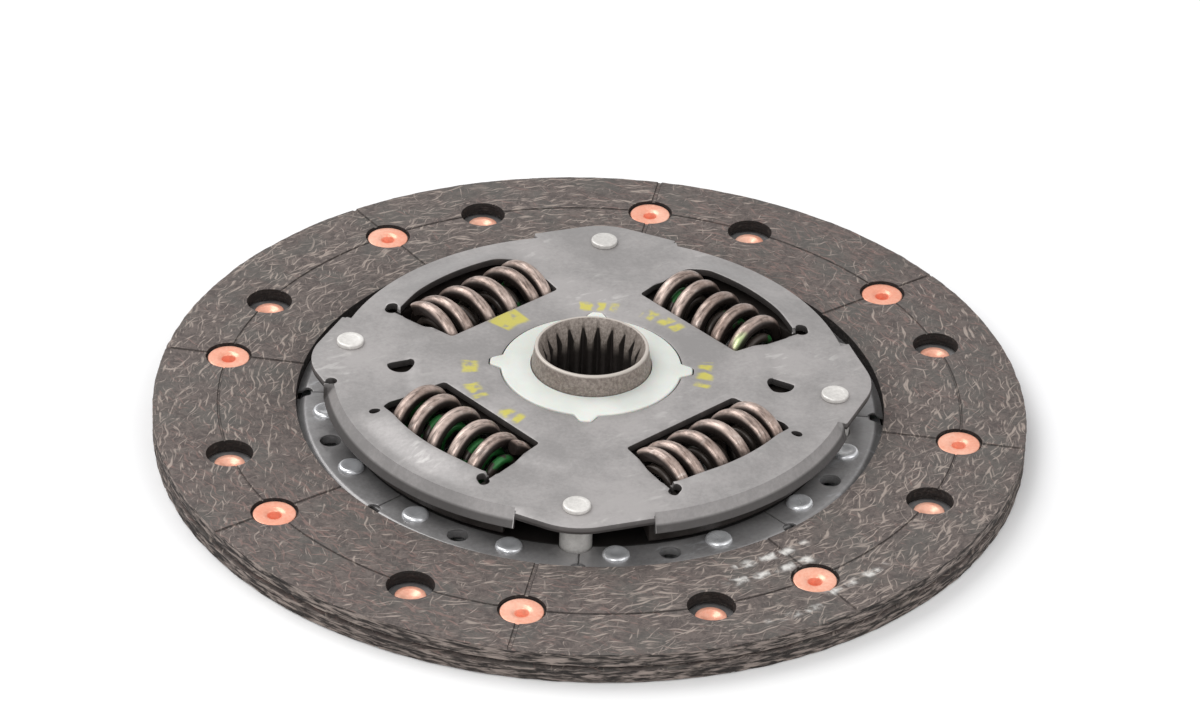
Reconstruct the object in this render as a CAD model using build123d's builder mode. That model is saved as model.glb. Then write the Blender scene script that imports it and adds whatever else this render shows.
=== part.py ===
from build123d import *
from math import acos, asin, atan2, cos, degrees, hypot, radians, sin, tan
import os

os.makedirs("parts", exist_ok=True)

# Clutch disc, mm. Z is the shaft axis, and z = 0 is the friction face on the flywheel side.
# Angles are in degrees about Z from +X.

# friction facings
facing_outer_radius = 114.0
facing_inner_radius = 76.7
facing_thickness = 3.5
facing_gap = 1.3  # held open by the wavy cushion segments
groove_width = 1.4  # radial groove through each clenched rivet
groove_depth = 0.7

# small round forms and hidden rings are drawn with flats, as there are so many of them
pocket_flats = 12
head_flats = 10
shank_flats = 6
ring_flats = 24
plate_flats = 60
cut_margin = 1.0  # how far a cut or an overlap reaches past what it has to

# hollow lining rivets, half of them set from each side
lining_circle_offset = 1.55  # outside the middle of the facing
lining_pocket_radius = 6.0  # counterbore over a clenched end, and clear hole over a head
lining_seat = 2.0  # facing left under a clenched end
lining_clench_radius = 5.5
lining_clench_thickness = 0.85
lining_head_radius = 4.0
lining_head_thickness = 0.9
lining_shank_radius = 2.5
lining_bore_radius = 1.8

# cushion segments
segment_count = 8
segment_thickness = 0.7
segment_facets = 4  # flats round the foot of a segment
segment_angle = 23.45  # middle of the first segment
segment_slit = 4.0  # between two blades
segment_slit_start = 72.6
segment_foot_gap = 0.4  # between two feet
blade_edge_margin = 2.5  # the blade stays this far inside the facing
foot_inner_radius = 65.3
foot_rise = 1.8  # the feet stand this far above the blades
foot_bend_angle = 45.0
foot_bend_clearance = 0.3  # between the bend and the facing
upper_rivet_offset = 14.85  # degrees from the middle of a segment to the rivet of the upper facing
lower_rivet_offset = -2.35  # and to the rivet of the lower facing
wave_flat = 13.0  # flat of a wave, under each rivet
spare_wave_offset = -15.0  # degrees from the middle to the crest that has no rivet

# rivets that hold the segments, two to a foot, and the hole between them
foot_hole_offset = -3.55  # degrees from the middle of a segment
foot_hole_radius = 2.75
foot_hole_circle_radius = 69.8
segment_rivet_circle_radius = 69.0
segment_rivet_spread = 11.25  # degrees each side of the foot hole
segment_rivet_head_radius = 3.5
segment_rivet_head_height = 1.0
segment_rivet_shank_radius = 2.2

# damper plates, the carrier below and the retainer above
carrier_thickness = 2.0
carrier_edge_margin = 1.4  # inside the outer end of the feet
carrier_bore_radius = 19.2
retainer_thickness = 2.0
plate_gap = 9.5  # clear height between the two plates
retainer_bore_radius = 23.9
boss_radius = 45.6
boss_ramp = 1.8
boss_rise = 0.9
rim_outer_radius = 70.0
rim_bend_radius = 2.8
rim_bend_steps = 2
rim_depth = 4.5  # from the top of the retainer to the lower edge of its rim
rim_end_angle = 16.0  # degrees from a stop pin to the end of the rim
rim_notch = 1.0  # between the end of the rim and the lobe round the pin
rim_overlap = 1.2
lobe_radius = 12.0
lobe_reach = 3.0  # beyond the rim
lobe_corner_inset = 0.8  # the lobe starts this far inside the rim

# spring windows of the two plates
window_chord = 34.2  # inner edge, from the shaft axis
window_spread = 2.85  # the ends lean outwards by this much
window_shoulder = 50.5  # where the ends reach their full width
window_end_clearance = 0.2
lip_edge_radius = 57.0
lip_root_inset = 1.0  # from the bend of the rim to the root of a lip
lip_rivet_clearance = 0.4  # between the lips of the carrier and the rivet heads beside them
lip_half_angle = 21.0
retainer_lip_rise = 3.2
carrier_lip_rise = 2.6
lip_shape = [(-1, 0), (-0.8, 0.6), (-0.4, 1), (0.3, 1), (1, 1)]  # shares of the half angle and the rise
relief_radius = 1.65  # round end of the shear cut beside each lip
relief_circle_radius = 59.5
relief_slot_width = 1.6
relief_angle = 21.1  # degrees from the middle of the window

# stop pins
pin_inset = 6.1  # from the rim to the middle of a pin
pin_skew = 6.0  # the two side pins stand this many degrees off the quarter
pin_spacer_radius = 4.15
pin_neck_radius = 2.8
pin_head_radius = 3.55
pin_head_height = 1.2
pin_foot_clearance = 0.4
twist_limit = 12.0  # degrees the hub turns each way before the pins stop it
stop_clearance = 0.25

# small holes of the retainer
gauge_hole_radius = 3.5
gauge_hole_flat = 1.8  # from the middle of the hole to its flat, on the +Y side
gauge_hole_lean = 24.0  # degrees the flat leans outwards
gauge_hole_circle_radius = 49.5
gauge_hole_angle = 93.1  # degrees each side of +Y
drain_hole_radius = 1.4
drain_hole_circle_radius = 60.0
drain_hole_angle = 64.3  # degrees each side of -Y

# damper springs, an inner one inside each outer one
spring_count = 4
spring_circle_radius = 45.0
spring_middle = 5.4  # spring axis above the carrier
spring_length = 36.5
spring_radius = 10.75
spring_wire = 3.9
spring_pitch = 7.7
spring_turn_sides = 9
spring_wire_sides = 5
inner_spring_clearance = 0.55
inner_spring_wire = 2.4
inner_spring_pitch = 5.0
inner_spring_turn_sides = 6
inner_spring_wire_sides = 4
closed_turns = 0.85
ground_depth = 0.2  # of the wire, taken off each end

# splined hub and its flange, one forging
flange_thickness = 6.0
flange_rim_clearance = 1.5  # inside the rim of the retainer
flange_window_inner = 33.9
flange_window_outer = 56.1
flange_window_clearance = 0.15
notch_inner_clearance = 0.5
hub_radius = 15.6
hub_tip_radius = 14.8
hub_tip_height = 5.4
hub_stand = 7.2  # above the retainer
hub_length = 23.7
spline_count = 21
spline_major_radius = 13.1
spline_minor_radius = 11.5
spline_space_share = 0.62  # of the pitch at the minor radius
spline_space_taper = 0.55  # width of a space at its root against its mouth
spline_chamfer_radius = 13.45
spline_lead_height = 5.0  # the upper end leads the shaft in
spline_chamfer_height = 1.7

# plastic bush, friction ring, support washer and disc spring
running_clearance = 0.05
bore_clearance = 0.15
bush_ring_radius = 23.5
bush_flange_radius = 29.5
bush_stand = 0.3  # above the boss of the retainer
bush_lug_half = 3.3
bush_lug_reach = 27.15
bush_lug_clearance = 0.25
friction_ring_radius = 30.0
support_washer_thickness = 0.8
support_washer_radius = 29.0
disc_spring_thickness = 0.6  # pressed flat by its load
disc_spring_radius = 28.5
collar_clearance = 0.1
washer_bore_clearance = 0.4

# heights that follow
upper_facing_bottom = facing_thickness + facing_gap
blade_middle = facing_thickness + facing_gap / 2
blade_lift = (facing_gap - segment_thickness) / 2
foot_bottom = blade_middle + foot_rise - segment_thickness / 2
foot_top = foot_bottom + segment_thickness
carrier_top = foot_bottom
carrier_bottom = carrier_top - carrier_thickness
retainer_bottom = carrier_top + plate_gap
retainer_top = retainer_bottom + retainer_thickness
spring_height = carrier_top + spring_middle
flange_bottom = spring_height - flange_thickness / 2
flange_top = spring_height + flange_thickness / 2
hub_top = retainer_top + hub_stand
hub_bottom = hub_top - hub_length
rim_straight = rim_outer_radius - rim_bend_radius
rim_bend_height = retainer_top - rim_bend_radius

# radii and angles that follow
foot_bend_end = facing_inner_radius - foot_bend_clearance
lining_circle_radius = (facing_outer_radius + facing_inner_radius) / 2 + lining_circle_offset
foot_outer_radius = foot_bend_end - foot_rise / tan(radians(foot_bend_angle))
carrier_radius = foot_outer_radius - carrier_edge_margin
lip_root_radius = rim_straight - lip_root_inset
lobe_corner_radius = rim_outer_radius - lobe_corner_inset
lobe_tip_radius = rim_outer_radius + lobe_reach
pin_circle_radius = rim_outer_radius - pin_inset
flange_radius = rim_outer_radius - retainer_thickness - flange_rim_clearance
blade_outer_radius = facing_outer_radius - blade_edge_margin
segment_pitch = 360 / segment_count
segment_angles = [segment_angle + i * segment_pitch for i in range(segment_count)]
upper_rivet_angles = [angle + upper_rivet_offset for angle in segment_angles]
lower_rivet_angles = [angle + lower_rivet_offset for angle in segment_angles]
foot_hole_angles = [angle + foot_hole_offset for angle in segment_angles]
segment_rivet_angles = [
    angle + side * segment_rivet_spread for angle in foot_hole_angles for side in (-1, 1)
]
pin_angles = [90, 180 - pin_skew, 270, 360 - pin_skew]
window_angles = [45 + i * 360 / spring_count for i in range(spring_count)]
window_half = spring_length / 2 + window_end_clearance
inner_spring_radius = spring_radius - spring_wire - inner_spring_clearance
notch_inner_radius = pin_circle_radius - pin_spacer_radius - notch_inner_clearance
notch_half_angle = twist_limit + degrees(asin((pin_spacer_radius + stop_clearance) / pin_circle_radius))
drain_hole_angles = [270 - drain_hole_angle, 270 + drain_hole_angle]
carrier_lip_root_radius = segment_rivet_circle_radius - segment_rivet_head_radius - lip_rivet_clearance
relief_sides = [-1, 1, 1, -1]  # which end of each window has the shear cut


def at(radius, angle):
    return (radius * cos(radians(angle)), radius * sin(radians(angle)))


def spots(radius, angles):
    # places on a circle, each turned to face outwards
    return Locations(*[Location((*at(radius, angle), 0), (0, 0, angle)) for angle in angles])


def radial_plane(angle):
    # local x runs outwards at this angle and local y runs up
    outwards = Vector(*at(1, angle), 0)
    return Plane(origin=(0, 0, 0), x_dir=outwards, z_dir=outwards.cross(Vector(0, 0, 1)))


def spread(start, end, count):
    # angles from start to end in equal steps
    return [start + (end - start) * i / count for i in range(count + 1)]


def ring_sector(inner, outer, start, end):
    # a flat piece of a ring
    middle = (start + end) / 2
    with BuildSketch(Plane.XY, mode=Mode.PRIVATE) as piece:
        with BuildLine():
            Line(at(inner, start), at(outer, start))
            ThreePointArc(at(outer, start), at(outer, middle), at(outer, end))
            Line(at(outer, end), at(inner, end))
            ThreePointArc(at(inner, end), at(inner, middle), at(inner, start))
        make_face()
    return piece.sketch_local


def save(piece, name):
    piece.label = name
    export_step(piece, f"parts/{name}.step")


# ---- friction facings ----


def facing(bottom, clenched, cleared, open_side):
    # the rivets are clenched on open_side, +1 for the top and -1 for the bottom
    face = bottom + facing_thickness if open_side > 0 else bottom
    with BuildPart() as ring:
        with BuildSketch(Plane.XY.offset(bottom)):
            Circle(facing_outer_radius)
            Circle(facing_inner_radius, mode=Mode.SUBTRACT)
            with spots(lining_circle_radius, cleared):
                RegularPolygon(lining_pocket_radius, pocket_flats, mode=Mode.SUBTRACT)
            with spots(lining_circle_radius, clenched):
                RegularPolygon(lining_shank_radius, shank_flats, mode=Mode.SUBTRACT)
        extrude(amount=facing_thickness)
        with BuildSketch(Plane.XY.offset(face)):
            with spots(lining_circle_radius, clenched):
                RegularPolygon(lining_pocket_radius, pocket_flats)
        extrude(amount=-open_side * (facing_thickness - lining_seat), mode=Mode.SUBTRACT)
        with BuildSketch(Plane.XY.offset(face)):
            with spots((facing_outer_radius + facing_inner_radius) / 2, clenched):
                Rectangle(facing_outer_radius - facing_inner_radius + 2 * groove_width, groove_width)
        extrude(amount=-open_side * groove_depth, mode=Mode.SUBTRACT)
    return ring.part


save(facing(upper_facing_bottom, upper_rivet_angles, lower_rivet_angles, 1), "facing_upper")
save(facing(0, lower_rivet_angles, upper_rivet_angles, -1), "facing_lower")


# ---- lining rivets ----


def lining_rivets(angles, seat, clench_side):
    # seat is the face of the blade under the rivet head
    blade_side = seat + clench_side * (segment_thickness + lining_seat)
    with BuildPart() as rivets:
        with BuildSketch(Plane.XY.offset(seat)):
            with spots(lining_circle_radius, angles):
                RegularPolygon(lining_head_radius, head_flats)
        extrude(amount=-clench_side * lining_head_thickness)
        with BuildSketch(Plane.XY.offset(seat)):
            with spots(lining_circle_radius, angles):
                RegularPolygon(lining_shank_radius, shank_flats)
        extrude(amount=clench_side * (segment_thickness + lining_seat))
        with BuildSketch(Plane.XY.offset(blade_side)):
            with spots(lining_circle_radius, angles):
                RegularPolygon(lining_clench_radius, head_flats)
        extrude(amount=clench_side * lining_clench_thickness)
        with BuildSketch(Plane.XY.offset(blade_side + clench_side * lining_clench_thickness)):
            with spots(lining_circle_radius, angles):
                RegularPolygon(lining_bore_radius, shank_flats)
        extrude(amount=-clench_side * (lining_seat + lining_clench_thickness), mode=Mode.SUBTRACT)
    return rivets.part


upper_blade_seat = blade_middle + blade_lift - segment_thickness / 2
lower_blade_seat = blade_middle - blade_lift + segment_thickness / 2
save(lining_rivets(upper_rivet_angles, upper_blade_seat, 1), "lining_rivets_upper")
save(lining_rivets(lower_rivet_angles, lower_blade_seat, -1), "lining_rivets_lower")


# ---- cushion segments ----


def cushion_segment(angle):
    level = Plane(origin=(0, 0, 0), x_dir=(*at(1, angle), 0), z_dir=(0, 0, 1))
    wave_plane = Plane(
        origin=(*at(foot_inner_radius, angle), 0),
        x_dir=(*at(1, angle + 90), 0),
        z_dir=(*at(1, angle), 0),
    )
    edge = blade_outer_radius * sin(radians(segment_pitch / 2)) + cut_margin
    half_flat = wave_flat / 2
    crests = [(spare_wave_offset, 1), (lower_rivet_offset, -1), (upper_rivet_offset, 1)]
    wave = [(-edge, 0)]
    for offset, side in crests:
        across = lining_circle_radius * sin(radians(offset))
        wave.append((across - half_flat, side * blade_lift))
        wave.append((across + half_flat, side * blade_lift))
    wave.append((edge, 0))
    under = [(across, blade_middle + lift - segment_thickness / 2) for across, lift in wave]
    over = [(across, height + segment_thickness) for across, height in reversed(under)]
    lean = segment_thickness * tan(radians(foot_bend_angle / 2))
    foot = [
        (foot_inner_radius, foot_bottom),
        (foot_outer_radius - lean, foot_bottom),
        (foot_bend_end - lean, blade_middle - segment_thickness / 2),
        (foot_bend_end + cut_margin, blade_middle - segment_thickness / 2),
        (foot_bend_end + cut_margin, blade_middle + segment_thickness / 2),
        (foot_bend_end, blade_middle + segment_thickness / 2),
        (foot_outer_radius, foot_top),
        (foot_inner_radius, foot_top),
    ]
    foot_span = segment_pitch - degrees(segment_foot_gap / segment_rivet_circle_radius)
    foot_edge = foot_span / 2
    rivets = [foot_hole_offset + side * segment_rivet_spread for side in (-1, 1)]
    slit_length = facing_outer_radius - segment_slit_start
    with BuildPart() as segment:
        with BuildSketch(wave_plane):
            Polygon(*under, *over, align=None)
        extrude(amount=blade_outer_radius)
        with BuildSketch(level):
            Polygon(
                *[at(blade_outer_radius, turn) for turn in spread(-foot_edge, foot_edge, segment_facets)],
                *[at(foot_bend_end, turn) for turn in spread(foot_edge, -foot_edge, segment_facets)],
                align=None,
            )
        extrude(amount=upper_facing_bottom, mode=Mode.INTERSECT)
        for turn in spread(angle - foot_edge, angle + foot_edge, segment_facets):
            with BuildSketch(radial_plane(turn)):
                Polygon(*foot, align=None)
        loft(ruled=True)
        with BuildSketch(level):
            with spots(segment_slit_start + slit_length / 2, [-segment_pitch / 2, segment_pitch / 2]):
                SlotOverall(slit_length, segment_slit)
            with spots(lining_circle_radius, [upper_rivet_offset, lower_rivet_offset]):
                RegularPolygon(lining_shank_radius, shank_flats)
            with spots(segment_rivet_circle_radius, rivets):
                RegularPolygon(segment_rivet_shank_radius, shank_flats)
            with spots(foot_hole_circle_radius, [foot_hole_offset]):
                RegularPolygon(foot_hole_radius, head_flats)
            with Locations(*[at(pin_circle_radius, pin - angle) for pin in pin_angles]):
                Circle(pin_spacer_radius + pin_foot_clearance)
        extrude(amount=foot_top, mode=Mode.SUBTRACT)
    return segment.part


for number, angle in enumerate(segment_angles, start=1):
    save(cushion_segment(angle), f"cushion_segment_{number}")

# ---- rivets through the feet and the carrier ----

with BuildPart() as segment_rivets:
    with BuildSketch(Plane.XY.offset(carrier_bottom - segment_rivet_head_height)):
        with spots(segment_rivet_circle_radius, segment_rivet_angles):
            RegularPolygon(segment_rivet_head_radius, head_flats)
    extrude(amount=segment_rivet_head_height)
    with BuildSketch(Plane.XY.offset(carrier_bottom)):
        with spots(segment_rivet_circle_radius, segment_rivet_angles):
            RegularPolygon(segment_rivet_shank_radius, shank_flats)
    extrude(amount=foot_top - carrier_bottom)
    with BuildSketch(Plane.XY.offset(foot_top)):
        with spots(segment_rivet_circle_radius, segment_rivet_angles):
            RegularPolygon(segment_rivet_head_radius, head_flats)
    extrude(amount=segment_rivet_head_height)
save(segment_rivets.part, "segment_rivets")


# ---- spring windows, shared by the two damper plates ----


def plate_window(angle, side, root_radius):
    # the opening, and the band outside it that the lip takes the place of
    lip_turns = sorted(side * share * lip_half_angle for share, lift in lip_shape)
    with BuildSketch(Plane.XY.rotated((0, 0, angle)), mode=Mode.PRIVATE) as window:
        Polygon(
            at(lip_edge_radius, -lip_half_angle),
            (window_shoulder, -window_half - window_spread),
            (window_chord, -window_half),
            (window_chord, window_half),
            (window_shoulder, window_half + window_spread),
            at(lip_edge_radius, lip_half_angle),
            *[at(root_radius, turn) for turn in reversed(lip_turns)],
            align=None,
        )
    return window.sketch


def spring_lip(angle, side, root_radius, top, bottom, rise):
    # the band outside a window, pressed over the spring and sheared off at its raised end
    with BuildPart(mode=Mode.PRIVATE) as lip:
        for share, lift in lip_shape:
            with BuildSketch(radial_plane(angle + side * share * lip_half_angle)):
                Polygon(
                    (lip_edge_radius, bottom + lift * rise),
                    (root_radius, bottom),
                    (root_radius, top),
                    (lip_edge_radius, top + lift * rise),
                    align=None,
                )
        loft(ruled=True)
    return lip.part


def shear_reliefs():
    # a round hole with a slot into the window, at one end of each window
    places = [angle + side * relief_angle for angle, side in zip(window_angles, relief_sides)]
    slot_length = relief_circle_radius - lip_edge_radius + 2 * relief_radius
    with BuildSketch(Plane.XY, mode=Mode.PRIVATE) as reliefs:
        with spots(relief_circle_radius, places):
            RegularPolygon(relief_radius, shank_flats)
        with spots(relief_circle_radius - slot_length / 2, places):
            Rectangle(slot_length, relief_slot_width)
    return reliefs.sketch


# ---- carrier plate ----

with BuildPart() as carrier:
    with BuildSketch(Plane.XY.offset(carrier_bottom)):
        RegularPolygon(carrier_radius, plate_flats)
        Circle(carrier_bore_radius, mode=Mode.SUBTRACT)
        with spots(segment_rivet_circle_radius, segment_rivet_angles):
            RegularPolygon(segment_rivet_shank_radius, shank_flats, mode=Mode.SUBTRACT)
        with spots(foot_hole_circle_radius, foot_hole_angles):
            RegularPolygon(foot_hole_radius, head_flats, mode=Mode.SUBTRACT)
        with spots(pin_circle_radius, pin_angles):
            RegularPolygon(pin_neck_radius, shank_flats, mode=Mode.SUBTRACT)
    extrude(amount=carrier_thickness)
    with BuildSketch(Plane.XY.offset(carrier_bottom)):
        for angle, side in zip(window_angles, relief_sides):
            add(plate_window(angle, side, carrier_lip_root_radius))
    extrude(amount=carrier_thickness, mode=Mode.SUBTRACT)
    for angle, side in zip(window_angles, relief_sides):
        add(
            spring_lip(
                angle, side, carrier_lip_root_radius, carrier_top, carrier_bottom, -carrier_lip_rise
            )
        )
    with BuildSketch(Plane.XY.offset(carrier_bottom - carrier_lip_rise)):
        add(shear_reliefs())
    extrude(amount=carrier_thickness + carrier_lip_rise, mode=Mode.SUBTRACT)
save(carrier.part, "carrier_plate")

# ---- retainer plate ----

outer_bend = []
inner_bend = []
for turn in spread(90, 0, rim_bend_steps):
    for bend, radius in ((outer_bend, rim_bend_radius), (inner_bend, rim_bend_radius - retainer_thickness)):
        out, up = at(radius, turn)
        bend.append((rim_straight + out, rim_bend_height + up))
notch_angle = degrees(rim_notch / rim_outer_radius)
rim_arcs = []
for start, end in zip(pin_angles, pin_angles[1:] + [pin_angles[0] + 360]):
    rim_arcs.append((start + rim_end_angle + notch_angle, end - rim_end_angle - notch_angle))


def plate_lobe():
    # the edge bulges round a stop pin, between straight sides from the corners beside the rims
    middle = lobe_tip_radius - lobe_radius
    corner_out, corner_across = at(lobe_corner_radius, rim_end_angle)
    to_corner = hypot(corner_out - middle, corner_across)
    swing = degrees(atan2(corner_across, corner_out - middle) - acos(lobe_radius / to_corner))
    side_out, side_across = at(lobe_radius, swing)
    root_out, root_across = at(rim_straight - rim_overlap, rim_end_angle)
    with BuildSketch(Plane.XY, mode=Mode.PRIVATE) as lobe:
        with BuildLine():
            Polyline(
                (middle + side_out, -side_across),
                (corner_out, -corner_across),
                (root_out, -root_across),
                (root_out, root_across),
                (corner_out, corner_across),
                (middle + side_out, side_across),
            )
            ThreePointArc(
                (middle + side_out, side_across), (lobe_tip_radius, 0), (middle + side_out, -side_across)
            )
        make_face()
    return lobe.sketch_local


with BuildPart() as retainer:
    with BuildSketch(Plane.XZ):
        Polygon(
            (retainer_bore_radius, retainer_bottom + boss_rise),
            (boss_radius, retainer_bottom + boss_rise),
            (boss_radius + boss_ramp, retainer_bottom),
            (rim_straight, retainer_bottom),
            (rim_straight, retainer_top),
            (boss_radius + boss_ramp, retainer_top),
            (boss_radius, retainer_top + boss_rise),
            (retainer_bore_radius, retainer_top + boss_rise),
            align=None,
        )
    revolve(axis=Axis.Z)
    with BuildSketch(Plane.XY.offset(retainer_bottom)):
        with spots(0, pin_angles):
            add(plate_lobe())
    extrude(amount=retainer_thickness)
    for start, end in rim_arcs:
        with BuildSketch(radial_plane(start)):
            Polygon(
                (rim_straight - rim_overlap, retainer_bottom),
                (rim_straight - rim_overlap, retainer_top),
                *outer_bend,
                (rim_outer_radius, retainer_top - rim_depth),
                (rim_outer_radius - retainer_thickness, retainer_top - rim_depth),
                *reversed(inner_bend),
                align=None,
            )
        revolve(axis=Axis.Z, revolution_arc=end - start)
    with BuildSketch(Plane.XY.offset(retainer_bottom)):
        with spots(0, [0, 90]):
            Rectangle(
                2 * (bush_lug_reach + bush_lug_clearance),
                2 * (bush_lug_half + bush_lug_clearance),
            )
        with spots(pin_circle_radius, pin_angles):
            RegularPolygon(pin_neck_radius, shank_flats)
        for side in (-1, 1):
            middle = at(gauge_hole_circle_radius, 90 + side * gauge_hole_angle)
            with Locations(Location((*middle, 0), (0, 0, side * gauge_hole_lean))):
                Circle(gauge_hole_radius)
                with Locations((0, gauge_hole_flat + gauge_hole_radius)):
                    Rectangle(2 * gauge_hole_radius, 2 * gauge_hole_radius, mode=Mode.SUBTRACT)
        with spots(drain_hole_circle_radius, drain_hole_angles):
            Circle(drain_hole_radius)
    extrude(amount=retainer_thickness + boss_rise, mode=Mode.SUBTRACT)
    with BuildSketch(Plane.XY.offset(retainer_bottom)):
        for angle, side in zip(window_angles, relief_sides):
            add(plate_window(angle, side, lip_root_radius))
    extrude(amount=retainer_thickness + boss_rise, mode=Mode.SUBTRACT)
    for angle, side in zip(window_angles, relief_sides):
        add(spring_lip(angle, side, lip_root_radius, retainer_top, retainer_bottom, retainer_lip_rise))
    with BuildSketch(Plane.XY.offset(retainer_bottom)):
        add(shear_reliefs())
    extrude(amount=retainer_thickness + retainer_lip_rise, mode=Mode.SUBTRACT)
save(retainer.part, "retainer_plate")


# ---- stop pins ----


def stop_pin(angle):
    steps = [
        (carrier_bottom - pin_head_height, pin_head_radius, head_flats, pin_head_height),
        (carrier_bottom, pin_neck_radius, shank_flats, carrier_thickness),
        (carrier_top, pin_spacer_radius, head_flats, plate_gap),
        (retainer_bottom, pin_neck_radius, shank_flats, retainer_thickness),
        (retainer_top, pin_head_radius, head_flats, pin_head_height),
    ]
    with BuildPart() as pin:
        for height, radius, flats, length in steps:
            with BuildSketch(Plane.XY.offset(height)):
                with spots(pin_circle_radius, [angle]):
                    RegularPolygon(radius, flats)
            extrude(amount=length)
    return pin.part


for number, angle in enumerate(pin_angles, start=1):
    save(stop_pin(angle), f"stop_pin_{number}")


# ---- damper springs ----


def coil_spring(angle, radius, wire, pitch, turn_sides, wire_sides):
    # straight pieces of wire round a helix whose last turns lie close together
    height = spring_length - wire * (1 - 2 * ground_depth)
    closed_rise = closed_turns * wire
    turns = (height - 2 * closed_rise) / pitch + 2 * closed_turns
    count = round(turns * turn_sides)
    coil_radius = (radius - wire / 2) / cos(radians(180 / turn_sides)) ** 0.5
    points = []
    for i in range(count + 1):
        turn = turns * i / count
        if turn < closed_turns:
            rise = turn * wire
        elif turn > turns - closed_turns:
            rise = height - (turns - turn) * wire
        else:
            rise = closed_rise + (turn - closed_turns) * pitch
        points.append((*at(coil_radius, 360 * turn), rise - height / 2))
    with BuildPart() as coil:
        with BuildLine() as path:
            Polyline(*points)
        with BuildSketch(Plane(origin=path.line @ 0, z_dir=path.line % 0)):
            RegularPolygon(wire / 2, wire_sides)
        sweep(transition=Transition.RIGHT)
        with BuildSketch(Plane.XY.offset(-spring_length / 2)):
            Circle(2 * radius)
        extrude(amount=spring_length, mode=Mode.INTERSECT)
    seat = Plane(
        origin=(*at(spring_circle_radius, angle), spring_height),
        x_dir=(0, 0, 1),
        z_dir=(*at(1, angle + 90), 0),
    )
    return coil.part.moved(seat.location)


for number, angle in enumerate(window_angles, start=1):
    outer_spring = coil_spring(
        angle, spring_radius, spring_wire, spring_pitch, spring_turn_sides, spring_wire_sides
    )
    inner_spring = coil_spring(
        angle,
        inner_spring_radius,
        inner_spring_wire,
        inner_spring_pitch,
        inner_spring_turn_sides,
        inner_spring_wire_sides,
    )
    save(outer_spring, f"damper_spring_{number}")
    save(inner_spring, f"inner_spring_{number}")

# ---- hub with its flange ----

spline_pitch = 360 / spline_count
space_mouth = spline_minor_radius * radians(spline_pitch) * spline_space_share
space_root = space_mouth * spline_space_taper

with BuildPart() as hub:
    with BuildSketch(Plane.XZ):
        Polygon(
            (0, hub_bottom),
            (hub_radius, hub_bottom),
            (hub_radius, hub_top - hub_tip_height),
            (hub_tip_radius, hub_top),
            (0, hub_top),
            align=None,
        )
    revolve(axis=Axis.Z)
    with BuildSketch(Plane.XY.offset(flange_bottom)):
        Circle(flange_radius)
        for angle in pin_angles:
            start = angle - notch_half_angle
            end = angle + notch_half_angle
            add(ring_sector(notch_inner_radius, flange_radius + cut_margin, start, end), mode=Mode.SUBTRACT)
        with spots((flange_window_inner + flange_window_outer) / 2, window_angles):
            Rectangle(
                flange_window_outer - flange_window_inner,
                spring_length + 2 * flange_window_clearance,
                mode=Mode.SUBTRACT,
            )
    extrude(amount=flange_thickness)
    with BuildSketch(Plane.XY.offset(hub_bottom)):
        Circle(spline_minor_radius)
        with PolarLocations(0, spline_count):
            Polygon(
                (spline_minor_radius - cut_margin, -space_mouth / 2),
                (spline_minor_radius, -space_mouth / 2),
                (spline_major_radius, -space_root / 2),
                (spline_major_radius, space_root / 2),
                (spline_minor_radius, space_mouth / 2),
                (spline_minor_radius - cut_margin, space_mouth / 2),
                align=None,
            )
    extrude(amount=hub_length, mode=Mode.SUBTRACT)
    for end, depth in ((hub_top, -spline_lead_height), (hub_bottom, spline_chamfer_height)):
        # a chamfer with a flat on each tooth and each space
        with BuildSketch(Plane.XY.offset(end)):
            RegularPolygon(spline_chamfer_radius, 2 * spline_count, rotation=spline_pitch / 4)
        with BuildSketch(Plane.XY.offset(end + depth)):
            RegularPolygon(spline_minor_radius, 2 * spline_count, rotation=spline_pitch / 4)
        loft(ruled=True, mode=Mode.SUBTRACT)
save(hub.part, "hub")

# ---- plastic bush between the hub and the retainer ----

bush_inner_radius = hub_radius + bore_clearance
boss_bottom = retainer_bottom + boss_rise
bush_top = retainer_top + boss_rise + bush_stand

with BuildPart() as bush:
    with BuildSketch(Plane.XY.offset(flange_top + running_clearance)):
        RegularPolygon(bush_flange_radius, ring_flats)
    extrude(amount=boss_bottom - flange_top - running_clearance)
    with BuildSketch(Plane.XY.offset(boss_bottom)):
        Circle(bush_ring_radius)
        with spots(0, [0, 90]):
            SlotOverall(2 * bush_lug_reach, 2 * bush_lug_half)
    extrude(amount=bush_top - boss_bottom)
    with BuildSketch(Plane.XY.offset(flange_top)):
        RegularPolygon(bush_inner_radius, ring_flats, major_radius=False)
    extrude(amount=hub_stand, mode=Mode.SUBTRACT)
save(bush.part, "centring_bush")

# ---- friction stack between the carrier and the flange ----

washer_bottom = carrier_top + disc_spring_thickness
friction_bottom = washer_bottom + support_washer_thickness
friction_top = flange_bottom - running_clearance
collar_radius = carrier_bore_radius - collar_clearance
washer_bore = collar_radius + washer_bore_clearance

with BuildPart() as friction_ring:
    with BuildSketch(Plane.XY.offset(carrier_bottom)):
        RegularPolygon(collar_radius, ring_flats)
    extrude(amount=friction_bottom - carrier_bottom)
    with BuildSketch(Plane.XY.offset(friction_bottom)):
        RegularPolygon(friction_ring_radius, ring_flats)
    extrude(amount=friction_top - friction_bottom)
    with BuildSketch(Plane.XY.offset(carrier_bottom)):
        RegularPolygon(bush_inner_radius, ring_flats, major_radius=False)
    extrude(amount=friction_top - carrier_bottom, mode=Mode.SUBTRACT)
save(friction_ring.part, "friction_ring")

with BuildPart() as support_washer:
    with BuildSketch(Plane.XY.offset(washer_bottom)):
        RegularPolygon(support_washer_radius, ring_flats)
        RegularPolygon(washer_bore, ring_flats, mode=Mode.SUBTRACT)
    extrude(amount=support_washer_thickness)
save(support_washer.part, "support_washer")

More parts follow.
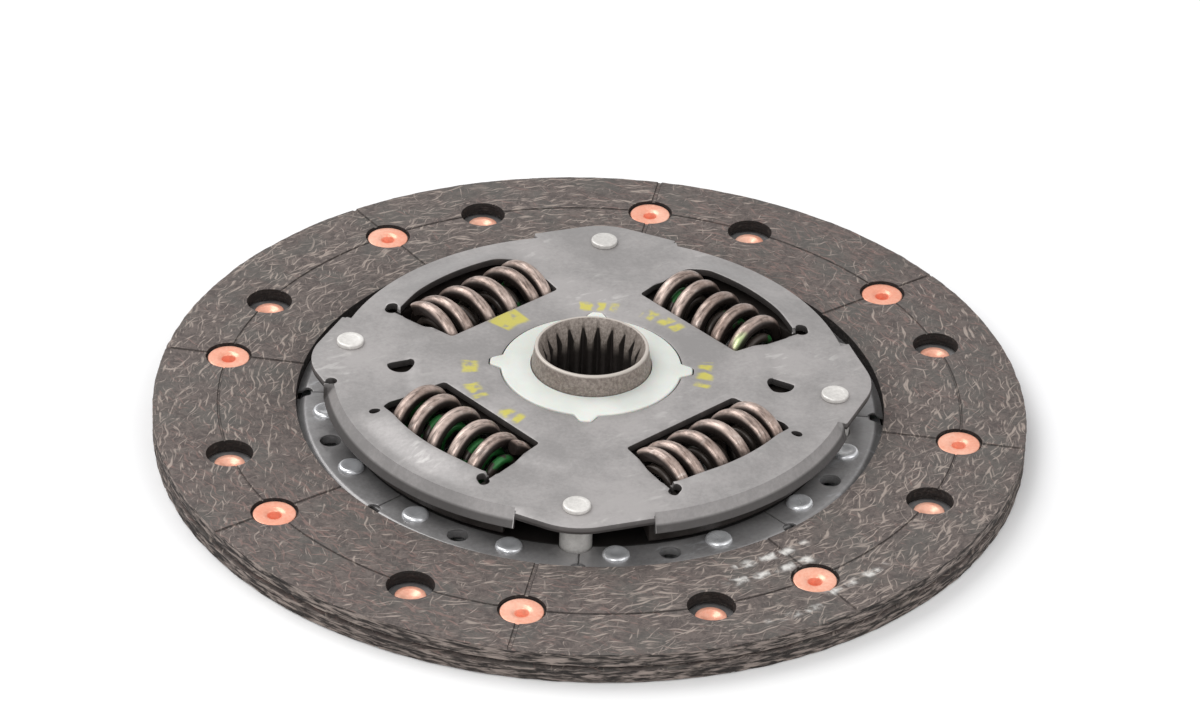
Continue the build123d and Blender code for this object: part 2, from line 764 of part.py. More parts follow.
with BuildPart() as disc_spring:
    with BuildSketch(Plane.XY.offset(carrier_top)):
        RegularPolygon(disc_spring_radius, ring_flats)
        RegularPolygon(washer_bore, ring_flats, mode=Mode.SUBTRACT)
    extrude(amount=disc_spring_thickness)
save(disc_spring.part, "disc_spring")
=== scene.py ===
import bpy
import bmesh
from math import acos, asin, atan2, cos, degrees, hypot, pi, radians, sin
from mathutils import Matrix, Vector, noise


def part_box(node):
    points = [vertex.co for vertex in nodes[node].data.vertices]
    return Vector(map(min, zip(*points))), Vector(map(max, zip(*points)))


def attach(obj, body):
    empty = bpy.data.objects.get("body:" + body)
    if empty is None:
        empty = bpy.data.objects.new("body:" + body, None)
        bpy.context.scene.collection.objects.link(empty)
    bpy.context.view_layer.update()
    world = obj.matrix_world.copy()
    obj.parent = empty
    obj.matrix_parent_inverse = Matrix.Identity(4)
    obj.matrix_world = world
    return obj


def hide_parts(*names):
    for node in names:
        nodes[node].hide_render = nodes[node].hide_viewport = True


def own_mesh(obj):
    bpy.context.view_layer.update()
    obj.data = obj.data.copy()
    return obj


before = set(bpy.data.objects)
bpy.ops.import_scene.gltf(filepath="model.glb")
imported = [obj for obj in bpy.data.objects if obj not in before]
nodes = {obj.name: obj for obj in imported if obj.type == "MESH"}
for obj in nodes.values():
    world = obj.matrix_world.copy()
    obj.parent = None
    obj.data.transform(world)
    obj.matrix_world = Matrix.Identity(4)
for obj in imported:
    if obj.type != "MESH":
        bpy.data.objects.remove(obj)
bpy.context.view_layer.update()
scene = bpy.context.scene
mm = 0.001
print("frame loaded")


class Sizes(dict):
    # a dictionary whose values can also be read as sizes.name
    __getattr__ = dict.__getitem__


# places that several pieces share, in millimetres and degrees
layout = Sizes(
    pinAngles=[90, 174, 270, 354],
    pinCircle=63.9,
    windowAngles=[45, 135, 225, 315],
    reliefSides=[-1, 1, 1, -1],  # end of each window that is sheared open
    segmentAngles=[23.45 + 45 * i for i in range(8)],
    liningCircle=96.9,
    upperOffset=14.85,  # from the middle of a segment to its rivet through the upper facing
    lowerOffset=-2.35,
    footHoleOffset=-3.55,
    footRivetSpread=11.25,
    footRivetCircle=69.0,
    bumpRing=23.5,  # the bush's ring, and how far and how wide its four bumps stand out
    bumpReach=26.4,
    bumpHalf=3.9,
    bumpFade=2.9,
    bumpSteps=480,
    pinHead=1.2,  # thickness of a stop pin's head
    plateThick=2.0,
    bossRise=0.9,  # how far the retainer's middle is raised
    springCircle=45.0,
    springMiddle=11.0,
)
upperAngles = [angle + layout.upperOffset for angle in layout.segmentAngles]
lowerAngles = [angle + layout.lowerOffset for angle in layout.segmentAngles]
footHoleAngles = [angle + layout.footHoleOffset for angle in layout.segmentAngles]
footRivetAngles = [a + side * layout.footRivetSpread for a in footHoleAngles for side in (-1, 1)]


def heights(node):
    # lowest and highest point of a CAD node, in millimetres
    low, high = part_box(node)
    return low.z / mm, high.z / mm


retainerTop = heights("stop_pin_1")[1] - layout.pinHead
retainerLow = retainerTop - layout.plateThick
bossLow = retainerLow + layout.bossRise


def smooth(x):
    x = min(max(x, 0), 1)
    return x * x * (3 - 2 * x)


def polar(radius, angle, height=0):
    return (radius * cos(radians(angle)), radius * sin(radians(angle)), height)


def arc(radius, half, steps):
    return [polar(radius, half * i / steps)[:2] for i in range(-steps, steps + 1)]


def oblong(start, end, half):
    return [(start, -half), (end, -half), (end, half), (start, half)]


def bumpedRing(spare=0):
    # the outline of the bush, a ring with four low rounded bumps
    points = []
    for i in range(layout.bumpSteps):
        angle = i * 360 / layout.bumpSteps
        across = abs(sin(radians((angle + 45) % 90 - 45))) * layout.bumpReach
        bump = smooth((layout.bumpHalf - across) / layout.bumpFade)
        reach = layout.bumpRing + (layout.bumpReach - layout.bumpRing) * bump
        points.append(polar(reach + spare, angle)[:2])
    return points


def allOf(bm):
    return bm.verts[:] + bm.edges[:] + bm.faces[:]


def outwardFaces(bm):
    bmesh.ops.recalc_face_normals(bm, faces=bm.faces[:])
    return bm


def cutFlat(bm, place, normal, **settings):
    bmesh.ops.bisect_plane(bm, geom=allOf(bm), plane_co=place, plane_no=normal, **settings)


def tidyUp(bm):
    bmesh.ops.remove_doubles(bm, verts=bm.verts[:], dist=0.0005)
    return outwardFaces(bm)


def lathe(corners, steps=96, segments=3):
    # turns a profile of (radius, height) or (radius, height, rounding) about Z
    bm = bmesh.new()
    verts = [bm.verts.new((corner[0], 0, corner[1])) for corner in corners]
    bm.faces.new(verts)
    for vert, corner in zip(verts, corners):
        if len(corner) > 2:
            bmesh.ops.bevel(bm, geom=[vert], offset=corner[2], segments=segments, profile=0.5,
                            affect="VERTICES", material=-1)
    bmesh.ops.delete(bm, geom=bm.faces[:], context="FACES_ONLY")
    bmesh.ops.spin(bm, geom=bm.verts[:] + bm.edges[:], cent=(0, 0, 0), axis=(0, 0, 1),
                   dvec=(0, 0, 0), angle=2 * pi, steps=steps, use_merge=True)
    return tidyUp(bm)


def prism(outline, low, high, rounding=0, segments=4):
    # a flat outline of (x, y) raised into a block, its upright corners rounded
    bm = bmesh.new()
    verts = [bm.verts.new((x, y, low)) for x, y in outline]
    bm.faces.new(verts)
    if rounding:
        bmesh.ops.bevel(bm, geom=verts, offset=rounding, segments=segments, profile=0.5,
                        affect="VERTICES", material=-1)
    raised = bmesh.ops.extrude_face_region(bm, geom=bm.faces[:])
    top = [item for item in raised["geom"] if isinstance(item, bmesh.types.BMVert)]
    bmesh.ops.translate(bm, vec=(0, 0, high - low), verts=top)
    return outwardFaces(bm)


def repeat(bm, matrices):
    # moves the shape to the first place and copies it to the others
    source = allOf(bm)
    for matrix in matrices[1:]:
        copied = bmesh.ops.duplicate(bm, geom=source)["geom"]
        verts = [item for item in copied if isinstance(item, bmesh.types.BMVert)]
        bmesh.ops.transform(bm, matrix=matrix, verts=verts)
    first = [item for item in source if isinstance(item, bmesh.types.BMVert)]
    bmesh.ops.transform(bm, matrix=matrices[0], verts=first)
    return bm


def bore(radius, low, high, steps=40):
    # a round punch that reaches past both heights
    return lathe([(0, low - 1), (radius, low - 1), (radius, high + 1), (0, high + 1)], steps)


def placesOn(radius, angles, height=0):
    # one matrix for each place on a circle, its x axis pointing outwards
    return [Matrix.Translation(polar(radius, angle, height)) @ Matrix.Rotation(radians(angle), 4, "Z")
            for angle in angles]


def polarOf(co):
    # radius and angle of a point
    return hypot(co.x, co.y), degrees(atan2(co.y, co.x))


def asObject(bm, name):
    mesh = bpy.data.meshes.new(name)
    bm.to_mesh(mesh)
    bm.free()
    obj = bpy.data.objects.new(name, mesh)
    scene.collection.objects.link(obj)
    return obj


def applyAll(obj):
    mesh = bpy.data.meshes.new_from_object(obj.evaluated_get(bpy.context.evaluated_depsgraph_get()))
    obj.modifiers.clear()
    obj.data = mesh
    return obj


def cut(obj, cutter, operation="DIFFERENCE"):
    tool = asObject(cutter, "cutter")
    modifier = obj.modifiers.new("cut", "BOOLEAN")
    modifier.object = tool
    modifier.operation = operation
    modifier.solver = "EXACT"
    applyAll(obj)
    bpy.data.objects.remove(tool)
    return obj


def cutAt(obj, cutter, angles, circle=0):
    cut(obj, repeat(cutter, placesOn(circle, angles)))


def punch(obj, radius, span, circle, angles, steps=40):
    # round holes through a plate
    cutAt(obj, bore(radius, *span, steps), angles, circle)


def roundEdges(obj, width, segments=2, angle=40):
    modifier = obj.modifiers.new("edges", "BEVEL")
    modifier.width = width
    modifier.segments = segments
    modifier.limit_method = "ANGLE"
    modifier.angle_limit = radians(angle)
    modifier.use_clamp_overlap = False
    return applyAll(obj)


def edited(obj):
    bm = bmesh.new()
    bm.from_mesh(obj.data)
    return bm


def gridded(bm, angleStep, radii):
    # lays a polar grid of edges over a flat sheet, so that it can be pressed into shape
    lean = 4  # rings are cut with level planes while the sheet is lifted into a cone
    for i in range(round(180 / angleStep)):
        turn = radians(i * angleStep + 0.37)
        cutFlat(bm, (0, 0, 0), (sin(turn), -cos(turn), 0), dist=0.0002)
    flat = bm.verts.layers.float.new("flat")
    for vert in bm.verts:
        vert[flat] = vert.co.z
        vert.co.z = lean * hypot(vert.co.x, vert.co.y) + vert.co.z
    for radius in radii:
        cutFlat(bm, (0, 0, lean * radius), (0, 0, 1), dist=0.0002)
    for vert in bm.verts:
        vert.co.z = vert[flat]
    bmesh.ops.remove_doubles(bm, verts=bm.verts[:], dist=0.04)
    bmesh.ops.dissolve_degenerate(bm, edges=bm.edges[:], dist=0.01)
    return bm


def finishPiece(obj, name, body, replaced, material, sharpAngle=32):
    mesh = obj.data
    mesh.transform(Matrix.Scale(mm, 4))
    mesh.polygons.foreach_set("use_smooth", [True] * len(mesh.polygons))
    mesh.set_sharp_from_angle(angle=radians(sharpAngle))
    mesh.materials.clear()
    mesh.materials.append(material)
    obj.name = name
    mesh.name = name
    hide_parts(*replaced)
    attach(obj, body)
    return obj


# node helpers

def isSocket(value):
    return isinstance(value, bpy.types.NodeSocket)


def linkTo(source, socket):
    socket.id_data.links.new(source, socket)


def addNode(kind, inputs, tree=None, **settings):
    # adds a node to the given tree, or else to the one that its inputs come from
    tree = tree or next(value.id_data for value in inputs.values() if isSocket(value))
    node = tree.nodes.new(kind)
    for key, value in settings.items():
        setattr(node, key, value)
    for key, value in inputs.items():
        if isSocket(value):
            linkTo(value, node.inputs[key])
        else:
            node.inputs[key].default_value = value
    return node


def noiseOf(vector, scale, detail=2.0, roughness=0.5, distortion=0.0):
    return addNode("ShaderNodeTexNoise", {"Vector": vector, "Scale": scale, "Detail": detail,
                   "Roughness": roughness, "Distortion": distortion}).outputs["Fac"]


def rangeOf(value, low, high, toLow=0.0, toHigh=1.0):
    return addNode("ShaderNodeMapRange", {"Value": value, "From Min": low, "From Max": high,
                   "To Min": toLow, "To Max": toHigh}, interpolation_type="SMOOTHSTEP").outputs[0]


def mathOf(operation, first, second=0.0):
    return addNode("ShaderNodeMath", {0: first, 1: second}, operation=operation).outputs[0]


def productOf(first, *others):
    for other in others:
        first = mathOf("MULTIPLY", first, other)
    return first


def vectorOf(operation, first, second=(0, 0, 0)):
    # gives a number where the operation measures, and otherwise a vector
    node = addNode("ShaderNodeVectorMath", {0: first, 1: second}, operation=operation)
    return node.outputs["Value" if operation in ("LENGTH", "DISTANCE", "DOT_PRODUCT") else "Vector"]


def partsOf(vector):
    return addNode("ShaderNodeSeparateXYZ", {0: vector}).outputs


def mapped(vector, **inputs):
    # a place as seen from a turned, moved or stretched frame
    return addNode("ShaderNodeMapping", {"Vector": vector, **inputs}, vector_type="TEXTURE").outputs[0]


def mixOf(factor, first, second):
    first, second = [colour if isSocket(colour) else linear(colour) for colour in (first, second)]
    return addNode("ShaderNodeMix", {0: factor, 6: first, 7: second}, data_type="RGBA").outputs[2]


def newGroup(name, inputs, outputs):
    # inputs are named with their starting value, or None for a vector
    group = bpy.data.node_groups.new(name, "ShaderNodeTree")
    for socketName, start in inputs.items():
        kind = "NodeSocketVector" if start is None else "NodeSocketFloat"
        socket = group.interface.new_socket(name=socketName, in_out="INPUT", socket_type=kind)
        if start is not None:
            socket.default_value = start
    for socketName in outputs:
        group.interface.new_socket(name=socketName, in_out="OUTPUT", socket_type="NodeSocketFloat")
    return group, group.nodes.new("NodeGroupInput").outputs, group.nodes.new("NodeGroupOutput").inputs


def placeGroup(group, inputs):
    return addNode("ShaderNodeGroup", inputs, node_tree=group).outputs


def newMaterial(name, **fixed):
    material = bpy.data.materials.new(name)
    material.use_nodes = True
    shader = material.node_tree.nodes["Principled BSDF"]
    for key, value in fixed.items():
        shader.inputs[key.replace("_", " ")].default_value = value
    place = addNode("ShaderNodeTexCoord", {}, shader.id_data).outputs["Object"]
    return material, shader, place


def linkSurface(shader, colour, rough, relief, strength, distance=0.0002):
    bump = addNode("ShaderNodeBump", {"Strength": strength, "Distance": distance, "Height": relief})
    for socket, key in ((colour, "Base Color"), (rough, "Roughness"), (bump.outputs["Normal"], "Normal")):
        linkTo(socket, shader.inputs[key])


def linear(colour):
    # a colour given as 0 to 255 on the screen
    parts = [channel / 255 for channel in colour]
    return (*[p / 12.92 if p <= 0.04045 else ((p + 0.055) / 1.055) ** 2.4 for p in parts], 1.0)


# sizes of the shared effects, in metres where they are lengths
effects = Sizes(
    grainCoarse=45.0, scuffTurn=0.6, scuffSize=(0.007, 0.0024, 0.004), scuffPatches=38.0,
    strokeSize=(0.0085, 0.00074, 0.0012), strokeBends=130.0, strokeBend=0.005,
    strokeAlong=0.1,  # how much thicker strokes lie along the circle than across it
    strokeEdge=(0.65, 0.79), layTurn=30, layStart=7, layApart=0.031,
    markWobble=0.0016, markSoft=(-0.0005, 0.001), markEnds=(-0.005, 0.02), markJitter=6.0,
    markBeats=(-1.0, 0.1), markSolid=(-0.08, 0.22), markStrength=0.8,
)

# grain: two sizes of speckle for metals and plastics
grainGroup, given, result = newGroup("grain", {"Vector": None, "Scale": 600.0}, ["Coarse", "Fine"])
linkTo(noiseOf(given["Vector"], effects.grainCoarse, 3.0, 0.6), result["Coarse"])
linkTo(noiseOf(given["Vector"], given["Scale"], 3.0, 0.65), result["Fine"])

# scuffs: stray light rubs and short scratches
scuffGroup, given, result = newGroup("scuffs", {"Vector": None, "Amount": 0.5}, ["Mask"])
turned = mapped(given["Vector"], Rotation=(0, 0, effects.scuffTurn), Scale=effects.scuffSize)
rubbedAndHighlight = rangeOf(noiseOf(turned, 1.0, 3.0, 0.6, 0.4), 0.56, 0.74)
patchy = rangeOf(noiseOf(given["Vector"], effects.scuffPatches), 0.45, 0.68)
linkTo(productOf(rubbedAndHighlight, patchy, given["Amount"]), result["Mask"])

# strokes: short fibres that lie one way, thick along the circle and sparse across it
strokeInputs = {"Vector": None, "Turn": None, "Across": None, "Shift": 0.0}
strokeGroup, given, result = newGroup("strokes", strokeInputs, ["Mask"])
bends = addNode("ShaderNodeTexNoise", {"Vector": given["Vector"], "Scale": effects.strokeBends, "Detail": 1.0})
bend = vectorOf("SUBTRACT", bends.outputs["Color"], (0.5, 0.5, 0.5))
bent = vectorOf("ADD", given["Vector"], vectorOf("MULTIPLY", bend, [effects.strokeBend] * 3))
laid = mapped(bent, Rotation=given["Turn"], Scale=effects.strokeSize)
outwards = vectorOf("NORMALIZE", vectorOf("MULTIPLY", given["Vector"], (1, 1, 0)))
lined = mathOf("ABSOLUTE", vectorOf("DOT_PRODUCT", outwards, given["Across"]))
favoured = productOf(mathOf("POWER", lined, 3.0), effects.strokeAlong)
raw = mathOf("ADD", mathOf("ADD", noiseOf(laid, 1.0, 1.5, 0.45), favoured), given["Shift"])
linkTo(rangeOf(raw, *effects.strokeEdge), result["Mask"])

# fibreField: six lays of strokes over each other
fibreGroup, given, result = newGroup("fibreField", {"Vector": None, "Shift": 0.0}, ["Light", "Warm"])
lays = []
for i in range(6):
    turn = radians(effects.layTurn * i + effects.layStart)
    moved = vectorOf("ADD", given["Vector"], (0, 0, effects.layApart * i))
    lays.append(placeGroup(strokeGroup, {"Vector": moved, "Turn": (0, 0, turn),
                "Across": (-sin(turn), cos(turn), 0), "Shift": given["Shift"]})["Mask"])
light = lays[0]
for other in lays[1:4]:
    light = mathOf("MAXIMUM", light, other)
linkTo(light, result["Light"])
linkTo(mathOf("MAXIMUM", lays[4], lays[5]), result["Warm"])

# mark: a short arc of ink, broken in a beat and where it has worn
markInputs = {"Vector": None, "Turn": None, "Radius": 0.03, "Width": 0.002, "Half": 0.1, "Wear": 0.42, "Beat": 0.0}
markGroup, given, result = newGroup("mark", markInputs, ["Mask"])
parts = partsOf(mapped(given["Vector"], Rotation=given["Turn"]))
reach = mathOf("SQRT", mathOf("ADD", productOf(parts["X"], parts["X"]), productOf(parts["Y"], parts["Y"])))
reach = mathOf("ADD", reach, productOf(noiseOf(given["Vector"], 420.0), effects.markWobble))
offLine = mathOf("ABSOLUTE", mathOf("SUBTRACT", reach, given["Radius"]))
onLine = rangeOf(mathOf("SUBTRACT", given["Width"], offLine), *effects.markSoft)
swept = mathOf("ARCTAN2", parts["Y"], parts["X"])
left = mathOf("SUBTRACT", given["Half"], mathOf("ABSOLUTE", swept))
jitter = productOf(noiseOf(given["Vector"], 260.0, 1.0), effects.markJitter)
beats = mathOf("SINE", mathOf("ADD", productOf(swept, given["Beat"]), jitter))
beats = productOf(beats, mathOf("MINIMUM", given["Beat"], 1.0))
wearAndHighlight = mathOf("SUBTRACT", noiseOf(given["Vector"], 330.0, 3.0, 0.6), given["Wear"])
linkTo(productOf(onLine, rangeOf(left, *effects.markEnds), rangeOf(beats, *effects.markBeats),
                 rangeOf(wearAndHighlight, *effects.markSolid)), result["Mask"])


def inked(place, colour, marks, ink):
    # lays marks of (radius, angle, width, half length in degrees, wear, beat) over a colour
    for radius, angle, width, half, wear, beat in marks:
        mask = placeGroup(markGroup, {"Vector": place, "Turn": (0, 0, radians(angle)), "Radius": radius * mm,
                          "Width": width * mm / 2, "Half": radians(half), "Wear": wear, "Beat": beat})["Mask"]
        colour = mixOf(productOf(mask, effects.markStrength), colour, ink)
    return colour


# where painted shade, the paint dab, the lining's outer wall and the hub's painted highlight lie: each mask grows
# from 0 to 1 between its two limits, in millimetres
limits = {
    "coilFlank": (10.5, 9.4), "dab": (4.6, 2.6), "facingEdge": (112.6, 113.2),
    "boreDepth": (4.5, 9.5), "boreRadius": (14.2, 13.8), "spaceDepth": (1.5, 3.0), "spaceRadius": (11.7, 12.1),
    "behindCone": (0.1, 0.3), "flange": (16.5, 18.0), "tipDepth": (0.7, 0.2), "tipRadius": (13.9, 14.1),
    "rim": (67.0, 67.8), "bandDepth": (0.6, 1.4), "bandRadius": (68.4, 69.0),
    "carrierHeight": (5.0, 5.4), "carrierRadius": (65.5, 63.5), "bushDepth": (-0.2, 0.2), "bushRadius": (23.0, 23.3),
}
# colour and strength of the painted shade, the coil streaks, and the colour of the painted shade in the bush's gap
shadeLook = Sizes(
    dark=(30, 25, 23), strength=0.94, streakFine=1500.0, streakTurn=2.5, streakRange=(0.44, 0.68),
    streakDark=0.62, coneRadius=0.0139, coneSlope=0.387, wall=(0.6, 0.25), wallDark=0.9,
    rimSpared=0.24, band=(0.9, 0.5), bandDark=0.86, gap=(52, 49, 48),
)


def within(value, key):
    low, high = limits[key]
    return rangeOf(value, low * mm, high * mm)


def radiusOf(vector):
    return vectorOf("LENGTH", vectorOf("MULTIPLY", vector, (1, 1, 0)))


def depthOf(vector, top):
    # how far below a height given in millimetres
    return mathOf("SUBTRACT", top * mm, partsOf(vector)["Z"])


def uprightOf(place):
    # 1 on level faces and 0 on walls
    normal = addNode("ShaderNodeNewGeometry", {}, place.id_data).outputs["Normal"]
    return mathOf("ABSOLUTE", partsOf(normal)["Z"])


def coilFlankShadeAndStreaks(place, angle):
    # painted shade on the inner flanks of an outer spring, and streaks along its wire
    middle = [part * mm for part in polar(layout.springCircle, angle, layout.springMiddle)]
    swung = mapped(place, Rotation=(0, 0, radians(angle)), Location=middle)
    away = vectorOf("LENGTH", vectorOf("MULTIPLY", swung, (1, 0, 1)))
    parts = partsOf(swung)
    drawn = addNode("ShaderNodeCombineXYZ", {
        "X": productOf(parts["Y"], shadeLook.streakFine), "Y": productOf(away, shadeLook.streakFine),
        "Z": productOf(mathOf("ARCTAN2", parts["Z"], parts["X"]), shadeLook.streakTurn)}).outputs[0]
    streaks = rangeOf(noiseOf(drawn, 1.0, 2.0, 0.6), *shadeLook.streakRange)
    return mathOf("MAXIMUM", within(away, "coilFlank"), productOf(streaks, shadeLook.streakDark))


def hubShadow(place, _):
    # painted shade in the bore, in the spline spaces and on the flange between the plates
    radius, depth = radiusOf(place), depthOf(place, heights("hub")[1])
    cone = mathOf("SUBTRACT", shadeLook.coneRadius, productOf(depth, shadeLook.coneSlope))
    space = productOf(within(radius, "spaceRadius"), within(depth, "spaceDepth"),
                      within(mathOf("SUBTRACT", radius, cone), "behindCone"))
    dark = mathOf("MAXIMUM", within(depth, "boreDepth"), space)
    return mathOf("MAXIMUM", productOf(within(radius, "boreRadius"), dark), within(radius, "flange"))


def hubRimHighlight(place):
    # a painted highlight along the thin rim at the hub's upper end
    return productOf(within(depthOf(place, heights("hub")[1]), "tipDepth"), within(radiusOf(place), "tipRadius"))


def cutEdgeShade(place, _):
    # painted shade on the walls of the windows and holes, and on the folded rims below their bend
    upright, radius = uprightOf(place), radiusOf(place)
    wall = rangeOf(upright, *shadeLook.wall)
    spared = productOf(within(radius, "rim"), shadeLook.rimSpared)
    walls = productOf(wall, mathOf("SUBTRACT", shadeLook.wallDark, spared))
    band = productOf(within(depthOf(place, retainerTop), "bandDepth"), within(radius, "bandRadius"),
                     shadeLook.bandDark)
    return mathOf("MAXIMUM", walls, productOf(band, rangeOf(upright, *shadeLook.band)))


def innerFaceShade(place, _):
    # painted shade on the carrier's upper face under the damper
    return productOf(within(partsOf(place)["Z"], "carrierHeight"), within(radiusOf(place), "carrierRadius"))


# metals

def metalFinish(name, look, marks=(), ink=(0, 0, 0), dab=None, shade=None, angle=0, wearAndHighlight=None):
    # a satin metal with grain, drifting tone and stray scuffs, and where given ink, a paint dab, a painted highlight
    # and painted shade
    dark, light, rubbedAndHighlight, metallic, roughness, speckle, grainScale, amount, relief = look
    material, shader, place = newMaterial(name, Metallic=metallic)
    grain = placeGroup(grainGroup, {"Vector": place, "Scale": grainScale})
    speckled = mathOf("ADD", productOf(grain["Coarse"], 1.0 - speckle), productOf(grain["Fine"], speckle))
    tone = rangeOf(speckled, 0.36, 0.66)
    scuffs = placeGroup(scuffGroup, {"Vector": place, "Amount": amount})["Mask"]
    colour = mixOf(scuffs, mixOf(tone, dark, light), rubbedAndHighlight)
    colour = inked(place, colour, marks, ink)
    if dab:
        away = vectorOf("DISTANCE", place, [part * mm for part in dab])
        colour = mixOf(within(away, "dab"), colour, ink)
    # painted highlight: the given mask lightens the colour towards the rubbed one
    if wearAndHighlight:
        colour = mixOf(wearAndHighlight(place), colour, rubbedAndHighlight)
    # painted shade: the given mask darkens the colour
    if shade:
        mask = productOf(shade(place, angle), shadeLook.strength)
        colour = mixOf(mask, colour, shadeLook.dark)
    rough = rangeOf(grain["Coarse"], 0.3, 0.7, roughness - 0.06, roughness + 0.06)
    rough = mathOf("SUBTRACT", rough, productOf(scuffs, 0.12))
    linkSurface(shader, colour, rough, grain["Fine"], relief)
    return material


# dark, light and rubbed colours (the rubbed one also paints the highlight on the hub's rim), metallic, roughness,
# share of fine speckle, its scale, scuffs and relief
metalLooks = {
    "retainerSteel": ((142, 139, 138), (165, 161, 160), (214, 211, 208), 0.35, 0.44, 0.3, 900.0, 0.35, 0.05),
    "carrierSteel": ((112, 110, 110), (138, 137, 137), (192, 192, 194), 0.4, 0.44, 0.35, 800.0, 0.4, 0.06),
    "cushionSteel": ((132, 130, 130), (160, 158, 158), (214, 216, 220), 0.5, 0.36, 0.3, 1000.0, 0.5, 0.04),
    "platedSteel": ((214, 215, 218), (240, 241, 243), (252, 252, 252), 0.6, 0.24, 0.25, 1200.0, 0.5, 0.03),
    "pinSteel": ((200, 197, 193), (226, 223, 219), (244, 242, 239), 0.4, 0.4, 0.45, 1100.0, 0.5, 0.08),
    "copper": ((240, 160, 132), (252, 200, 176), (255, 214, 194), 0.4, 0.34, 0.3, 1200.0, 0.5, 0.05),
    "forgedSteel": ((118, 108, 101), (158, 148, 140), (190, 182, 174), 0.35, 0.5, 0.7, 1300.0, 0.3, 0.22),
    "springSteel": ((146, 126, 116), (204, 184, 174), (240, 228, 220), 0.55, 0.34, 0.4, 600.0, 0.8, 0.08),
}
# radius, angle, width, half length in degrees, wear and beat of each patch of ink
yellowMarks = [(31.6, 137.8, 7.4, 8.5, 0.3, 0), (30.4, 89.5, 4.4, 10.5, 0.34, 44), (30.8, 54.2, 4.4, 12.5, 0.34, 42),
               (30.6, -2.4, 4.2, 12.0, 0.34, 44), (32.4, 185.4, 4.4, 5.5, 0.32, 0), (33.2, 206, 4.4, 7.0, 0.35, 40),
               (32.4, 232, 4.4, 7.5, 0.34, 40)]
inks = {"yellow": (206, 196, 70), "paleGreen": (206, 222, 166)}
greenDab = Sizes(window=45, place=(39.6, 13.5, 19.0))
finishes = {name: metalFinish(name, metalLooks[name])
            for name in ("carrierSteel", "cushionSteel", "platedSteel", "pinSteel", "copper", "springSteel")}
# the retainer, hub, carrier and outer springs get painted shade, and the hub a painted highlight on its rim
retainerFinish = metalFinish("markedSteel", metalLooks["retainerSteel"], yellowMarks, inks["yellow"], shade=cutEdgeShade)
hubFinish = metalFinish("hubSteel", metalLooks["forgedSteel"], shade=hubShadow, wearAndHighlight=hubRimHighlight)
carrierFinish = metalFinish("carrierShaded", metalLooks["carrierSteel"], shade=innerFaceShade)
outerFinishes = [metalFinish("coilSteel", metalLooks["springSteel"], (), inks["paleGreen"],
                             greenDab.place if angle == greenDab.window else None, coilFlankShadeAndStreaks, angle)
                 for angle in layout.windowAngles]

# friction lining: a brown-grey mat with pale fibres, frayed at its cut edge
liningLook = Sizes(
    dark=(80, 73, 71), light=(105, 96, 92), cool=(88, 88, 85), coolShare=0.5,
    fibre=(184, 170, 160), fibreShare=0.52, warmFibre=(138, 112, 105), warmShare=0.5, fibreShift=-0.02,
    edgeDark=(34, 31, 30), edgeLight=(146, 134, 127), edgeScale=(190, 190, 1300), edgeShare=0.9,
    wall=(26, 23, 22), print=(222, 220, 216), relief=0.5, reliefDepth=0.0004,
)


def liningFinish(name, marks=()):
    look = liningLook
    material, shader, place = newMaterial(name, Specular_IOR_Level=0.25)
    grain = placeGroup(grainGroup, {"Vector": place, "Scale": 1600.0})
    fibres = placeGroup(fibreGroup, {"Vector": place, "Shift": look.fibreShift})
    crumbs = noiseOf(place, 520.0, 2.5, 0.6, 0.6)
    mixed = mathOf("ADD", productOf(grain["Fine"], 0.4), productOf(crumbs, 0.6))
    ground = rangeOf(mixed, 0.36, 0.64)
    colour = mixOf(ground, look.dark, look.light)
    patches = rangeOf(noiseOf(place, 90.0, 3.0, 0.6), 0.44, 0.66)
    for mask, share, tint in ((patches, "coolShare", "cool"), (fibres["Warm"], "warmShare", "warmFibre"),
                              (fibres["Light"], "fibreShare", "fibre")):
        colour = mixOf(productOf(mask, look[share]), colour, look[tint])
    side = rangeOf(uprightOf(place), 0.75, 0.35)
    layered = vectorOf("MULTIPLY", place, look.edgeScale)
    strands = rangeOf(noiseOf(layered, 1.0, 3.0, 0.6, 0.5), 0.4, 0.66)
    edgeColour = mixOf(strands, look.edgeDark, look.edgeLight)
    outermost = within(radiusOf(place), "facingEdge")
    edgeColour = mixOf(outermost, look.wall, edgeColour)
    colour = mixOf(productOf(side, look.edgeShare), colour, edgeColour)
    colour = inked(place, colour, marks, look.print)
    relief = mathOf("ADD", productOf(fibres["Light"], 0.5), grain["Fine"])
    relief = mathOf("ADD", relief, productOf(side, strands, 1.6))
    rough = rangeOf(grain["Coarse"], 0.3, 0.7, 0.74, 0.9)
    linkSurface(shader, colour, rough, relief, look.relief, look.reliefDepth)
    return material


printRows = [(84.6, 306.0, 2.6, 8.0, 0.42, 90), (90.4, 303.0, 2.8, 8.5, 0.43, 84), (104.4, 313.0, 2.6, 6.0, 0.43, 96),
             (108.2, 301.5, 2.2, 5.0, 0.45, 90)]
finishes["lining"] = liningFinish("frictionLining")
printedLining = liningFinish("printedLining", printRows)

